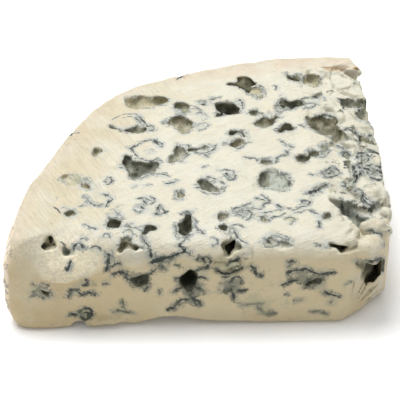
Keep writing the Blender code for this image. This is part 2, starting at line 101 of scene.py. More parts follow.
# Cavities that open through the top: depth, undercut, how olive the lining is
# (0 is grey), how dark it is, and the rim.
TOP_HOLES = (
    (3.0, 0.3, 1.0, 0.15, ((-75.75, 80.25), (-73.25, 81.25), (-69.5, 81.25), (-66, 81), (-63, 80.25), (-61.75, 78.25), (-63.5, 76.25), (-66, 74.75), (-67, 74), (-68.75, 74), (-71.25, 73.75), (-74, 74.5), (-75, 76.5))),
    (2.6, 0.3, 0.7, 0.5, ((-59, 75.75), (-57, 75.5), (-55.75, 72.25), (-56.75, 70.25), (-57.75, 72), (-60, 73.25))),
    (2.6, 0.3, 0.8, 0.3, ((-63, 64.5), (-61, 67), (-59.25, 67.75), (-58, 67), (-58.5, 62.75), (-59.5, 62.5), (-61.25, 63))),
    (2.6, 0.4, 0.8, 0.3, ((-59.25, 68.25), (-58, 69.75), (-56.75, 67.5), (-54.75, 64.75), (-55, 61.75), (-56.5, 58.5), (-58, 60), (-59.5, 62.5))),
    (1.8, 0.1, 0.3, 0.7, ((-51.75, 77.5), (-50.5, 77.25), (-50.25, 75.5), (-51.5, 75.75))),
    (2.0, 0.2, 0.4, 0.5, ((-78, 62.5), (-75, 61.75), (-72.25, 62.5), (-70.25, 64.25), (-68.5, 62.25), (-69.25, 61), (-71, 59.75), (-73, 60), (-76, 60.75))),
    (1.6, 0.1, 0.9, 0.4, ((-80.5, 64), (-79.25, 63.75), (-77.75, 62.5), (-78.5, 61.75), (-79.75, 62.25))),
    (4.6, 0.7, 0.2, 0.35, ((-74.75, 41.25), (-74.5, 45.5), (-73.5, 45.25), (-72.5, 43.25), (-71.25, 42.5), (-69.25, 41.5), (-67.5, 41.5), (-66, 42.5), (-64.75, 43.5), (-65, 40.5), (-65.75, 37.75), (-67.25, 36.25), (-69.25, 35.5), (-71, 34.5), (-72, 33.75), (-72.75, 36.25), (-73.25, 38), (-74.75, 40))),
    (4.4, 0.9, 1.0, 1.0, ((-42.25, 88), (-39.5, 90.25), (-38.5, 92), (-37.25, 92.75), (-35.25, 92.25), (-34.5, 90.5), (-33.25, 88.75), (-33.75, 87.5), (-35.25, 86), (-37, 83.75), (-38, 86), (-39.75, 87))),
    (1.3, 0.0, 1.0, 0.0, ((-36.5, 83.75), (-34.75, 85.75), (-33.5, 86.25), (-31.75, 85.5), (-30.5, 81.75), (-31.75, 79.75), (-32.75, 79.75), (-34.25, 81), (-35.75, 82.25))),
    (6.5, 0.9, 0.6, 0.95, ((-46, 75.5), (-45, 76.75), (-43.5, 77), (-41.5, 76.5), (-40.25, 74.5), (-39.5, 73.5), (-40, 71.5), (-41.25, 70.75), (-43.25, 70.25), (-44.5, 71), (-45.5, 72.25), (-45.75, 74))),
    (1.6, 0.1, 0.2, 0.9, ((-46.25, 70.25), (-44.75, 70.5), (-44.75, 69.25), (-46, 69.25))),
    (4.6, 0.5, 0.35, 0.8, ((-26.25, 76), (-24.75, 78.25), (-23.75, 77), (-22.5, 76.25), (-20, 77), (-18.75, 76.25), (-18.25, 75), (-20, 73.75), (-21.25, 73), (-22.5, 71.75), (-23.75, 72.25), (-24, 74.25), (-25, 75.75))),
    (1.0, 0.0, 0.0, 0.0, ((-27, 74.25), (-26, 75.75), (-24.25, 75.25), (-23.75, 73.25), (-24.25, 71.5), (-26.25, 71.25))),
    (3.0, 0.3, 0.7, 0.45, ((-34.25, 63.5), (-33.75, 65), (-32.5, 66.5), (-31.5, 68.5), (-30.5, 67.75), (-29.25, 67.25), (-28.5, 68), (-27.25, 69.25), (-26.75, 68), (-28.5, 66), (-29, 64.5), (-30.5, 62.75), (-31.75, 62), (-33.25, 62.5))),
    (1.8, 0.1, 0.5, 0.5, ((-35.75, 71.25), (-34.25, 72.5), (-33.5, 72), (-34, 70.5), (-35.25, 70.25))),
    (3.2, 0.2, 0.5, 0.7, ((-28, 60), (-26.75, 61), (-25.75, 62.25), (-24.75, 63), (-23.25, 61.5), (-22.75, 60.25), (-24.25, 60), (-25.75, 60.25), (-26.5, 59.25), (-27.25, 58.5), (-28, 59.25))),
    (3.2, 0.3, 0.4, 0.6, ((-43, 57.75), (-42.25, 59.5), (-41, 60), (-39.25, 59.75), (-38, 59), (-38, 56.75), (-38.25, 55.5), (-39, 56.5), (-40, 57.75), (-41, 57.5), (-42.25, 56.75))),
    (3.2, 0.3, 0.7, 0.6, ((-44.5, 51.75), (-43.25, 51.75), (-41.75, 52.25), (-40.5, 54), (-39.5, 53.5), (-40, 51.5), (-41.25, 50), (-42.25, 50), (-43.5, 51))),
    (2.6, 0.2, 0.9, 0.4, ((-22.75, 93.25), (-21.25, 91.5), (-20.5, 91.5), (-19.25, 92.75), (-18.5, 92.75), (-18.25, 91), (-19, 89.75), (-20.75, 90), (-21.75, 91))),
    (1.8, 0.1, 1.0, 0.2, ((-17.25, 90.75), (-15.5, 92.25), (-13.5, 93.5), (-11.25, 93.5), (-12.25, 90.5), (-13, 88.75), (-14.75, 87.75), (-16, 88.75))),
    (3.8, 0.6, 0.85, 0.6, ((-17.75, 66.25), (-15.75, 67.5), (-14, 68.25), (-12, 69.5), (-10.75, 68.5), (-9.5, 67.75), (-9, 66.25), (-9.75, 64.5), (-9.75, 62.5), (-9.75, 60.5), (-8.75, 59.25), (-7.5, 58), (-7.5, 56.5), (-8.5, 54.5), (-10.5, 55), (-11.25, 57), (-13.25, 57.75), (-15.75, 59.5), (-17.25, 62), (-17.75, 64))),
    (3.2, 0.3, 0.3, 0.8, ((-6, 76.75), (-4.5, 77.75), (-3, 78), (-1, 77.25), (1, 76.25), (3, 75.75), (3, 73.75), (1.5, 74.25), (-1.25, 74.75), (-3.5, 74.5), (-5, 75))),
    (3.6, 0.3, 0.4, 0.9, ((-1, 71.75), (0.75, 73.25), (2.25, 72.75), (3.5, 70.5), (2.75, 65), (1.25, 67), (-0.25, 68.25), (-1.25, 69.75))),
    (3.2, 0.3, 0.8, 0.9, ((-3, 56.5), (-1.5, 57.75), (0, 57.5), (1, 55.5), (0, 52.5), (-2, 52.25), (-2.75, 54))),
    (2.8, 0.2, 0.5, 0.8, ((-19, 48.25), (-17.75, 48.5), (-16.25, 48), (-16.25, 46.75), (-17.75, 45.75), (-19.25, 46.75))),
    (2.8, 0.3, 0.4, 0.6, ((-23.25, 44), (-21.75, 45), (-20, 45.25), (-19.25, 45.5), (-20.5, 43.25), (-21.75, 42), (-22.75, 42.5))),
    (2.2, 0.1, 0.4, 0.8, ((-15.5, 50.75), (-13.75, 51.25), (-13.75, 49.75), (-15, 48.75))),
    (2.2, 0.3, 0.4, 0.3, ((-59.75, 46.25), (-58.5, 49.75), (-57.5, 50), (-56.5, 47.5), (-56.5, 46.5), (-57.75, 45), (-58.75, 44.25), (-59.5, 44.75))),
    (2.6, 0.2, 0.4, 0.6, ((-61.25, 43), (-60.75, 45.25), (-59.5, 44.75), (-59.5, 43.5), (-60.5, 42.5))),
    (2.0, 0.1, 0.4, 0.6, ((-55.5, 48.5), (-54.5, 49.25), (-52.5, 49.25), (-50.5, 51), (-49, 50.5), (-50.25, 48.5), (-51.75, 49))),
    (3.0, 0.5, 0.3, 0.35, ((-52.25, 31.75), (-51.25, 32.75), (-50.25, 32.25), (-49.25, 30), (-47.75, 28.25), (-46.75, 28.75), (-47.5, 26.75), (-49.5, 26.5), (-51, 27.5), (-51.75, 29.5))),
    (2.0, 0.1, 0.7, 0.5, ((-59.25, 27), (-58.25, 27), (-57.75, 25.75), (-58.75, 24.75))),
    (2.2, 0.2, 1.0, 0.4, ((-84.25, 49), (-83.5, 50.5), (-82.25, 50.25), (-82, 48.75), (-82.75, 47.75), (-83.5, 46.5), (-84.25, 46.75))),
    (1.5, 0.0, 1.0, 0.1, ((-87.75, 34.5), (-85.75, 34), (-85, 31.75), (-84.75, 29), (-86.25, 29.75), (-87.25, 31))),
    (0.8, 0.0, 0.8, 0.0, ((-94, 33.25), (-93, 35.5), (-90.5, 36.25), (-87.5, 35.25), (-86.75, 32.25), (-88.5, 32), (-90.75, 31), (-93, 31.75))),
    (2.2, 0.2, 0.8, 0.5, ((-91, 17), (-90.5, 18), (-89, 18.5), (-88.25, 16.75), (-89, 15.75), (-90.25, 15.75))),
    (3.4, 0.3, 0.6, 0.7, ((-78.5, 10.5), (-78, 12.75), (-77.25, 14.25), (-76, 12.75), (-75.75, 10.25))),
    (2.8, 0.2, 0.2, 0.9, ((-68.75, 7.25), (-68.5, 9.75), (-67, 10.5), (-65.5, 9.75), (-66, 8.75), (-67, 8.25), (-68, 6.75))),
    (6.4, 0.6, 0.35, 0.7, ((-59, 11), (-57.25, 13), (-56, 14.25), (-55.25, 11.25), (-55.25, 9), (-56.75, 6.25), (-58, 6.75), (-58.75, 8.5))),
    (2.6, 0.2, 0.6, 0.6, ((-47.5, 14.5), (-46.25, 15.75), (-45, 15), (-45.75, 14), (-46.5, 12.75))),
    (2.6, 0.1, 0.3, 1.0, ((-47.25, 10), (-46, 9.75), (-45.5, 6.75), (-46.25, 7.75), (-47.25, 8.25))),
    (3.0, 0.2, 0.3, 0.5, ((-22.25, 25.5), (-20.5, 26.25), (-19, 27.75), (-17.75, 29.25), (-16, 29.75), (-15, 29), (-16.5, 27.75), (-17.75, 26), (-19.25, 24.75), (-21, 24.75))),
    (1.5, 0.2, 0.0, 0.0, ((-35, 30), (-34.5, 33.75), (-33, 36.25), (-32, 37), (-30.5, 37), (-29, 35.25), (-27.25, 34.5), (-26.25, 32.5), (-26.5, 30.75), (-27.5, 28.25), (-29.25, 27), (-30.75, 27.75), (-32, 28.75), (-33.5, 29.25))),
    (3.4, 0.3, 0.2, 0.8, ((-35, 29.75), (-34.75, 33.5), (-33.5, 35.75), (-32.75, 35), (-33.5, 32.25), (-34.25, 29.75))),
    (1.6, 0.1, 0.5, 0.6, ((-34, 42.25), (-32.25, 42.75), (-31, 41.75), (-32.25, 41), (-33.5, 41.25))),
    (1.8, 0.1, 0.6, 0.6, ((-18.75, 13.5), (-17.75, 14.25), (-16.75, 14), (-17.75, 12.5), (-18.5, 12.5))),
    (1.6, 0.1, 0.7, 0.7, ((-35.75, 13.75), (-34.75, 14), (-34, 13.25), (-34.5, 12), (-35.5, 12.25))),
    (4.6, 0.4, 0.0, 0.25, ((-13.25, 21.75), (-10.75, 22.25), (-9, 21.25), (-8.5, 19), (-6, 17.75), (-2.75, 16.75), (-1, 15.5), (-1.25, 13.25), (-3, 13.25), (-6.5, 13.5), (-8.5, 14), (-11, 14.75), (-11.75, 17.5), (-12.75, 20.25))),
    (3.0, 0.2, 0.6, 0.9, ((-18, 1), (-15.5, 0.5), (-13.5, -0.25), (-15, -2.75), (-16.25, -1.75))),
    (0.5, 0.1, 0.7, 0.25, ((-35.25, 2.75), (-34, 4), (-33, 3.5), (-31.25, 2.25), (-28.75, 1.5), (-31, -0.25), (-33.25, 0), (-34.75, 1))),
    (7.2, 0.5, 0.6, 0.8, ((-46.75, -1.5), (-46, 0.75), (-44.5, 2.75), (-43.5, 3.25), (-42.75, 0.25), (-42.5, -1), (-43.75, -2.5), (-44.5, -3.75), (-46.25, -4.25))),
    (3.6, 0.2, 0.9, 0.8, ((-95.75, 1.25), (-94.75, 3.75), (-94, 6.25), (-93.25, 3.75), (-92.5, 1.5), (-93.25, 0), (-94, 0.25))),
    (3.0, 0.2, 0.1, 1.0, ((-90, -1.5), (-90.25, 0.25), (-89.25, 1), (-87, 0.5), (-87.5, -1), (-89, -1.75))),
    (3.0, 0.3, 0.8, 0.6, ((-75.25, -0.75), (-75, 1.25), (-74, 2.25), (-72.75, 2), (-71, 1), (-69.25, 0.25), (-67.75, -0.5), (-69.5, -0.5), (-71.75, 0), (-73.25, -0.75), (-74.25, -2))),
    (0.7, 0.0, 0.6, 0.0, ((-73.25, 5), (-72.25, 2.5), (-72.75, 1), (-75, 1.25))),
)

# Cavities in the front cut, in x and z.
FRONT_HOLES = (
    (3.4, 0.3, 0.2, 0.8, ((-72, -11), (-70.5, -10.5), (-68.5, -9.5), (-67.75, -10.25), (-68, -12), (-69.5, -13), (-71.25, -12.25))),
    (6.5, 0.4, 0.2, 1.0, ((-58.5, -12.5), (-58.25, -10.5), (-56.75, -9.25), (-56, -8.25), (-54.75, -9), (-54.75, -12), (-54.25, -13.25), (-55.5, -14.75), (-56.5, -15.25), (-57.75, -14))),
    (2.6, 0.2, 0.2, 0.7, ((-24.25, -14), (-23.25, -12), (-21.5, -11.75), (-19.75, -12), (-20.25, -13.25), (-22.5, -13.5))),
    (1.8, 0.1, 1.0, 0.3, ((-97.25, -13), (-96.25, -14), (-95.25, -15.5), (-96.5, -16.25), (-97.25, -15))),
    (1.4, 0.0, 0.1, 0.9, ((-47, -15.25), (-46, -14.5), (-44.75, -14.25), (-44.75, -15), (-46.25, -15.5))),
    (1.2, 0.0, 0.1, 0.9, ((-64.25, -6.25), (-63, -5.75), (-62.5, -6.75), (-63.25, -8), (-64, -7.25))),
)

# Veins: strength, width, course.
TOP_VEINS = (
    (1.0, 0.45, ((-6, 77.25), (-4.75, 77.5), (-2.25, 77.25), (-0.5, 76.5), (3, 76.75))),
    (1.0, 0.9, ((-1, 71.25), (0, 70.5), (1.5, 69.25), (2.25, 67.5))),
    (1.0, 0.6, ((-6.75, 59.75), (-5.75, 59.25), (-4.5, 58.75), (-3.75, 57.5))),
    (1.0, 0.8, ((-3.75, 57.5), (-3, 56), (-1.75, 54.25), (0.25, 56))),
    (0.9, 0.4, ((-10.25, 50.25), (-9, 49), (-8, 46.75), (-7, 45))),
    (1.0, 0.45, ((-5.25, 43.25), (-4.5, 45.75), (-3, 46), (0, 46.5))),
    (1.0, 0.6, ((-7, 38.5), (-6.75, 36.25), (-7.25, 33.75))),
    (0.9, 0.4, ((-5.5, 39.5), (-4.75, 36.75), (-5.5, 34.25))),
    (1.0, 0.6, ((-4, 38), (-2.25, 36.75), (0, 36.75), (1.75, 37.25))),
    (1.0, 0.9, ((1.5, 38.75), (1.25, 36.25), (0.75, 33.5))),
    (1.0, 0.5, ((-21.75, 25), (-20.25, 26.25), (-18.5, 27.25), (-17.25, 28.75), (-16.25, 29.75))),
    (1.0, 0.6, ((-12.25, 21.5), (-11.75, 19), (-11, 16.75), (-10.5, 14.75), (-9.75, 13))),
    (0.9, 0.35, ((-5.75, 24.25), (-6.25, 22), (-5.25, 20), (-4.25, 18.5), (-3, 18))),
    (1.0, 0.7, ((-10.75, 30), (-10.75, 28.5))),
    (0.9, 0.5, ((-9.25, 58.75), (-8.5, 57), (-7.75, 55.25))),
    (1.0, 0.6, ((-16.25, 66), (-14.75, 67.75), (-12.75, 68.5), (-10.75, 67.75), (-9.25, 66.5))),
    (0.9, 0.4, ((-15.75, 61.75), (-14.75, 60), (-13, 58.75))),
    (1.0, 0.6, ((-19.25, 92.5), (-19.25, 90.75))),
    (0.9, 0.35, ((-16.5, 88.75), (-14.75, 87.75), (-13.5, 88.75))),
    (0.9, 0.4, ((-7.25, 35.75), (-6.5, 32.75), (-7.75, 30))),
    (1.0, 0.5, ((-2.25, 32.5), (-0.75, 31.5), (0.75, 32))),
    (0.9, 0.30, ((-6.75, 6.5), (-5.75, 6.5), (-4.75, 5.5), (-3.25, 5.0), (-2.5, 2.25), (-2.25, -0.5))),
    (0.8, 0.25, ((-6.25, 25.0), (-5.75, 23.0), (-4.5, 21.0), (-2.75, 19.75))),
    (0.5, 0.30, ((-77.5, 84.0), (-71.5, 89.0), (-67.5, 92.25), (-63.5, 93.25))),
    (0.9, 0.45, ((-58.5, 92.5), (-57.5, 94), (-56.5, 95.25), (-54.5, 96.5))),
    (0.8, 0.40, ((-92.0, 58.0), (-91.0, 59.0), (-89.5, 59.5))),
    (0.8, 0.28, ((-79, 67.5), (-77, 69.5), (-75, 70.25), (-73.5, 70.25), (-71.75, 70), (-70.25, 67.25), (-68.75, 64.25), (-68.25, 62.75))),
    (0.45, 0.22, ((-75.75, 68.25), (-73.5, 68.75), (-72, 67.75), (-70.5, 65.25), (-69.5, 63.5))),
    (0.6, 0.22, ((-68.25, 62.75), (-67, 63), (-66, 61.5), (-66.75, 60.25), (-68, 60.75))),
    (0.8, 0.3, ((-73, 50.5), (-72.25, 51.25), (-71.25, 51.75))),
    (0.7, 0.25, ((-71, 52.25), (-70.25, 53.25), (-69.25, 54), (-67.75, 54.5), (-66, 54))),
    (0.9, 0.35, ((-65.75, 54.5), (-65.25, 53.25), (-64.75, 52))),
    (0.55, 0.22, ((-64.75, 53.75), (-63.75, 52.75), (-63.75, 51), (-64.75, 50.75))),
    (0.55, 0.22, ((-73.75, 50.5), (-72.75, 49.5), (-72, 47.5), (-70.75, 45.5), (-68.75, 43.5), (-66.75, 43), (-65.75, 43.75), (-64.75, 44.75))),
    (0.5, 0.25, ((-76.25, 39.75), (-75, 39.25), (-73.75, 38), (-72.75, 35.5))),
    (0.5, 0.2, ((-76, 40.75), (-74.5, 40.25), (-73.5, 38.5))),
    (0.45, 0.2, ((-72, 33.25), (-70, 33.75), (-68.25, 35), (-66.5, 36), (-64.25, 36), (-63, 35.75))),
    (0.7, 0.28, ((-64.25, 35.75), (-62.75, 35.75), (-61.75, 35))),
    (0.55, 0.22, ((-59, 52.75), (-58, 51.75), (-55.75, 51.75), (-55.5, 50.5))),
    (0.5, 0.25, ((-59.75, 46.75), (-59.5, 49.25), (-59, 52))),
    (0.7, 0.25, ((-50.5, 51), (-49, 50.25), (-47.25, 51.25), (-48, 49), (-50.25, 47.25))),
    (0.55, 0.22, ((-58, 44), (-56.5, 45), (-55, 46.75))),
    (0.4, 0.2, ((-58.75, 42.75), (-57, 42.25))),
    (0.7, 0.35, ((-50.75, 46), (-50, 45))),
    (0.5, 0.22, ((-54, 47.75), (-52.25, 47), (-51, 46.75))),
    (0.5, 0.2, ((-39.5, 77.75), (-38.75, 78.5), (-38.25, 77.75), (-38, 74.5), (-38.5, 71.75), (-39.75, 70.25), (-42.5, 69.5), (-44.5, 69))),
    (0.7, 0.3, ((-39.5, 77.5), (-39, 78.25), (-38.5, 77.75))),
    (0.7, 0.3, ((-50.25, 34.25), (-49.25, 33.75))),
    (0.7, 0.3, ((-48.75, 33.5), (-48, 33))),
    (0.75, 0.35, ((-46.75, 32), (-46, 31.5), (-45.5, 30.5))),
    (0.45, 0.22, ((-45, 29.25), (-45.75, 26.75), (-47.25, 25.5), (-49.5, 25.5), (-51.25, 25.75), (-52.25, 26.75))),
    (0.6, 0.25, ((-54, 30.25), (-53, 30.25), (-52.25, 29.5), (-52.75, 28.5), (-53.5, 28.75))),
    (0.55, 0.22, ((-46.5, 37.25), (-45.25, 37.75), (-43.75, 37.5), (-42.75, 37), (-42.5, 35.75))),
    (0.6, 0.25, ((-42, 34.75), (-42.5, 33.25), (-43.5, 32.5), (-44.75, 33.5), (-45, 34.75))),
    (0.9, 0.4, ((-44.75, 35.75), (-44.5, 35), (-44, 34.25))),
    (0.5, 0.22, ((-59.75, 23.5), (-59.25, 22.75), (-58.25, 23), (-57.75, 24.5))),
    (0.75, 0.28, ((-64.25, 20), (-64.75, 18.5), (-64.25, 17.5), (-65.25, 16), (-64.25, 15.75), (-62.75, 16.25), (-62, 17))),
    (0.55, 0.22, ((-64.25, 20), (-63.25, 18.25), (-62.5, 16.5))),
    (0.6, 0.25, ((-62.5, 31), (-61.25, 31), (-60.75, 31.5))),
    (0.8, 0.3, ((-60.75, 31.25), (-59.5, 32.25))),
    (0.7, 0.25, ((-80.25, 25.75), (-79.25, 25.5), (-78.25, 24.25), (-77.75, 23.25), (-78.75, 21.75), (-79.5, 20))),
    (0.9, 0.4, ((-79.5, 25.5), (-79, 25))),
    (0.7, 0.3, ((-78.75, 22.5), (-79.25, 20.75))),
    (0.5, 0.22, ((-86, 25), (-84.75, 23.25), (-83.75, 21.5), (-82.75, 20.5))),
    (1.0, 0.5, ((-83.25, 21), (-82.75, 20.5))),
    (0.5, 0.22, ((-86.75, 20), (-85.75, 20.25))),
    (0.45, 0.22, ((-82, 20.25), (-81, 20.5), (-80.25, 21.25))),
    (0.5, 0.2, ((-80, 33.75), (-79, 34.5), (-78.25, 33.25), (-78.5, 31.5), (-79.5, 31), (-80, 32.25))),
    (0.55, 0.25, ((-85, 11.25), (-83.75, 10.25), (-82, 9.25))),
    (0.8, 0.4, ((-68.75, 24), (-68, 23), (-67.25, 22.5))),
    (0.6, 0.28, ((-70.25, 23.5), (-69.25, 24), (-68.75, 22.5), (-68, 20.75))),
    (0.5, 0.22, ((-67, 24.5), (-65.75, 23.5), (-65.5, 22), (-66.5, 21))),
    (0.6, 0.25, ((-71.25, 18), (-70.25, 17), (-69.25, 17.25))),
    (0.7, 0.3, ((-69.5, 19.5), (-68.75, 18.5))),
    (0.45, 0.22, ((-77, 18.25), (-76.25, 16.75), (-75.5, 16))),
    (0.4, 0.2, ((-76.5, 16.5), (-75, 15.5), (-74.25, 14))),
    (0.45, 0.22, ((-72, 28.75), (-71.5, 29.5), (-71, 30))),
    (0.4, 0.2, ((-79.75, 5.5), (-79.25, 6.75), (-78, 6.5), (-77.75, 5.25))),
    (0.8, 0.35, ((-57.25, 16), (-56.25, 16.75), (-55.5, 16))),
    (0.6, 0.28, ((-58.5, 15.75), (-57.75, 15.25))),
    (0.4, 0.22, ((-55.5, 14.75), (-54, 12.25), (-54.25, 10), (-53.25, 8))),
    (0.6, 0.28, ((-53.75, 7.75), (-53, 8), (-52.25, 6.5))),
    (0.45, 0.22, ((-60, 10.75), (-59.5, 7.75), (-59.75, 5.25), (-59, 4.25))),
    (0.75, 0.3, ((-55.75, 5.75), (-57, 4.5), (-57.5, 3.25), (-58.75, 1))),
    (0.75, 0.32, ((-69, 6), (-68.5, 3.75), (-67.25, 1.25))),
    (0.6, 0.26, ((-65.25, 9.5), (-65.75, 8.5))),
    (0.55, 0.25, ((-73, 10), (-71.25, 9.5), (-69.5, 9.75))),
    (0.5, 0.25, ((-28, 54), (-27, 53), (-26.5, 52.25))),
    (0.6, 0.25, ((-26.25, 52.25), (-25.75, 51.25), (-24, 49.75))),
    (0.5, 0.22, ((-40.75, 49.25), (-39.5, 50), (-38.25, 51.75), (-37.25, 52.75))),
    (0.5, 0.25, ((-38.75, 44.5), (-37, 43.75), (-35.75, 44), (-35.25, 42.25))),
    (0.55, 0.25, ((-26.25, 48), (-25.5, 46), (-26.75, 45.25), (-28.75, 44.25), (-29.75, 41))),
    (0.8, 0.35, ((-26, 47.25), (-25.75, 46.25))),
    (0.5, 0.22, ((-29.5, 43.75), (-28.25, 44.75), (-27, 45))),
    (0.5, 0.25, ((-21, 62.5), (-20.25, 62.25), (-19.5, 61.25))),
    (0.6, 0.3, ((-26.75, 87.25), (-26.25, 86.25), (-26.75, 84.75))),
    (0.6, 0.3, ((-18.75, 78.5), (-18, 79), (-17, 79.5))),
    (0.5, 0.22, ((-18.5, 75), (-17, 75.5), (-15.25, 75.75), (-14.5, 74.75), (-16.25, 73), (-18.5, 72.75))),
    (0.6, 0.28, ((-18.5, 78.75), (-17.5, 79.25))),
    (0.6, 0.28, ((-14.5, 80), (-13.5, 78.75))),
    (0.4, 0.2, ((-12.5, 81.25), (-11.5, 79.25), (-11.25, 77.25))),
    (0.45, 0.22, ((-48, 80.5), (-46.75, 80), (-45.25, 80.25))),
    (0.8, 0.35, ((-47.75, 78.75), (-46.75, 79.25))),
    (0.4, 0.2, ((-55.75, 75.75), (-53.75, 74.75), (-52, 73.25), (-50.5, 70.75), (-49.25, 68))),
    (0.45, 0.2, ((-52.75, 69.75), (-51.5, 71.25), (-51, 69.5))),
    (0.35, 0.2, ((-53, 62.75), (-51.5, 64.25), (-49.25, 63.75), (-50.25, 61.25), (-52.25, 60))),
    (0.5, 0.24, ((-33.5, 71.75), (-33, 70.5), (-32, 69.5))),
    (0.55, 0.25, ((-16.75, 45), (-15.25, 46), (-14.5, 45), (-13.5, 46.25), (-12.75, 47.75))),
    (0.45, 0.22, ((-16.75, 44), (-15.25, 44), (-14.25, 44.75))),
    (0.6, 0.25, ((-17, 36), (-15.25, 36.75), (-13.25, 38.75), (-11.75, 37.25), (-11.5, 34.75), (-13.75, 33.5), (-15.5, 33.25), (-16.5, 35.25))),
    (0.6, 0.25, ((-14.75, 35), (-13.75, 36), (-12.5, 36.75))),
    (0.7, 0.35, ((-20, 35), (-19.25, 34.5))),
    (0.55, 0.25, ((-36.5, 22.5), (-35.25, 22.25), (-34.25, 21.75))),
    (0.7, 0.35, ((-36.25, 22.75), (-35.25, 22.25))),
    (0.5, 0.22, ((-35, 24.5), (-34, 23.25), (-32.75, 21), (-34.5, 20.25), (-35.5, 17.5), (-38, 18.25))),
    (0.5, 0.25, ((-43.75, 16.25), (-43, 18.25), (-41.5, 18.5), (-39.75, 19.75), (-38.5, 20.5))),
    (0.5, 0.25, ((-41.5, 18.5), (-40.5, 16.75), (-39.25, 17), (-38.25, 15.75))),
    (0.5, 0.25, ((-38.25, 15.75), (-38.75, 13.5), (-39.75, 12.5))),
    (0.45, 0.22, ((-43.25, 14.5), (-42, 15.25), (-40.75, 13.5))),
    (0.7, 0.35, ((-30.75, 19.5), (-30, 18.5))),
    (0.6, 0.28, ((-27.75, 17.75), (-26, 17), (-24.25, 18.5), (-22.5, 18.75), (-21.5, 20.5), (-22, 21.5), (-23.75, 21.5))),
    (0.7, 0.3, ((-24, 21.5), (-23.75, 20.5))),
    (0.45, 0.22, ((-26, 15.75), (-24.25, 16), (-22.5, 17), (-20.5, 15.5), (-18.75, 14.25))),
    (0.5, 0.25, ((-34, 12.5), (-32.5, 13.75), (-30.5, 14.25), (-29, 15.5))),
    (0.6, 0.3, ((-20, 10.75), (-19.75, 9.75), (-20, 8.75))),
    (0.5, 0.25, ((-35.5, 15.75), (-33.75, 16), (-32, 16.75), (-30, 17.25))),
    (0.45, 0.22, ((-29.25, 12.75), (-27.75, 13.5), (-26.5, 12.5), (-27.5, 10.75))),
    (0.5, 0.25, ((-44.75, 9.75), (-43.25, 10.25), (-42.25, 10), (-41, 9.25))),
    (0.5, 0.25, ((-43.75, 8.5), (-43, 5), (-41.75, 2.75), (-40.5, 1.5))),
    (0.4, 0.2, ((-49.75, 4.25), (-48.75, 3.75), (-48.25, 2), (-49.25, 1))),
    (0.4, 0.25, ((-33.75, 5.75), (-31.75, 4.5), (-30, 3.25), (-28.25, 2.5))),
    (0.4, 0.22, ((-32.25, 6.25), (-30.25, 5.25), (-28.75, 3.75))),
    (0.8, 0.4, ((-34.5, 3.25), (-33.75, 2.25))),
    (0.6, 0.35, ((-21.5, 0.75), (-20.75, 0))),
    (0.5, 0.25, ((-91.25, 3.5), (-90.5, 2.75), (-89.75, 2))),
    (0.55, 0.25, ((-94, 19.75), (-92.75, 18.25), (-92.25, 17))),
    (0.4, 0.2, ((-92, 19.25), (-91, 19.75))),
    (0.4, 0.2, ((-86, 3.75), (-85, 5), (-84, 3.75))),
    (0.85, 0.4, ((-87.25, 0.75), (-86.5, 2.5), (-85.5, 2.25), (-84.75, 1))),
    (0.5, 0.25, ((-82.5, 0.5), (-81.5, 1.25), (-80.5, 0.75), (-80, -0.5))),
    (0.6, 0.25, ((-9.75, 49), (-8.75, 48), (-8, 46.25), (-7.25, 44.5))),
    (0.7, 0.35, ((-9.75, 46.5), (-8.5, 47), (-9.25, 44.5))),
    (0.7, 0.3, ((-1.75, 46.75), (-0.75, 47.25), (0.25, 47))),
    (0.55, 0.25, ((-5, 44.5), (-4, 45.75), (-2.25, 46), (-1.5, 43.75), (-2.75, 41), (-5, 40.5))),
    (0.5, 0.25, ((-7.25, 38), (-6.25, 39.25), (-5.25, 38.5), (-5.25, 35.75))),
    (0.6, 0.3, ((-3, 38.75), (-1.25, 39.5), (0.75, 38.5), (1.75, 36.75))),
    (0.55, 0.25, ((-3.25, 35.75), (-2.5, 33), (-1, 31.25), (0.75, 32))),
    (0.55, 0.25, ((-6.75, 27), (-5.75, 25), (-6.75, 21.75), (-6, 19.5))),
    (0.8, 0.4, ((-10.5, 29.75), (-10.25, 28.5))),
    (0.5, 0.22, ((-11.25, 12.75), (-9.5, 13.5), (-8.25, 12.25), (-6.5, 12))),
    (0.45, 0.22, ((-74, 7.5), (-72.75, 8.75), (-71.75, 7.75), (-71.5, 6))),
    (0.4, 0.25, ((-73.75, 10), (-73, 11.75), (-72, 11.25))),
    (0.35, 0.2, ((-68.25, 30.25), (-67, 30.5))),
    (0.35, 0.2, ((-51.5, 39.5), (-50, 40))),
)

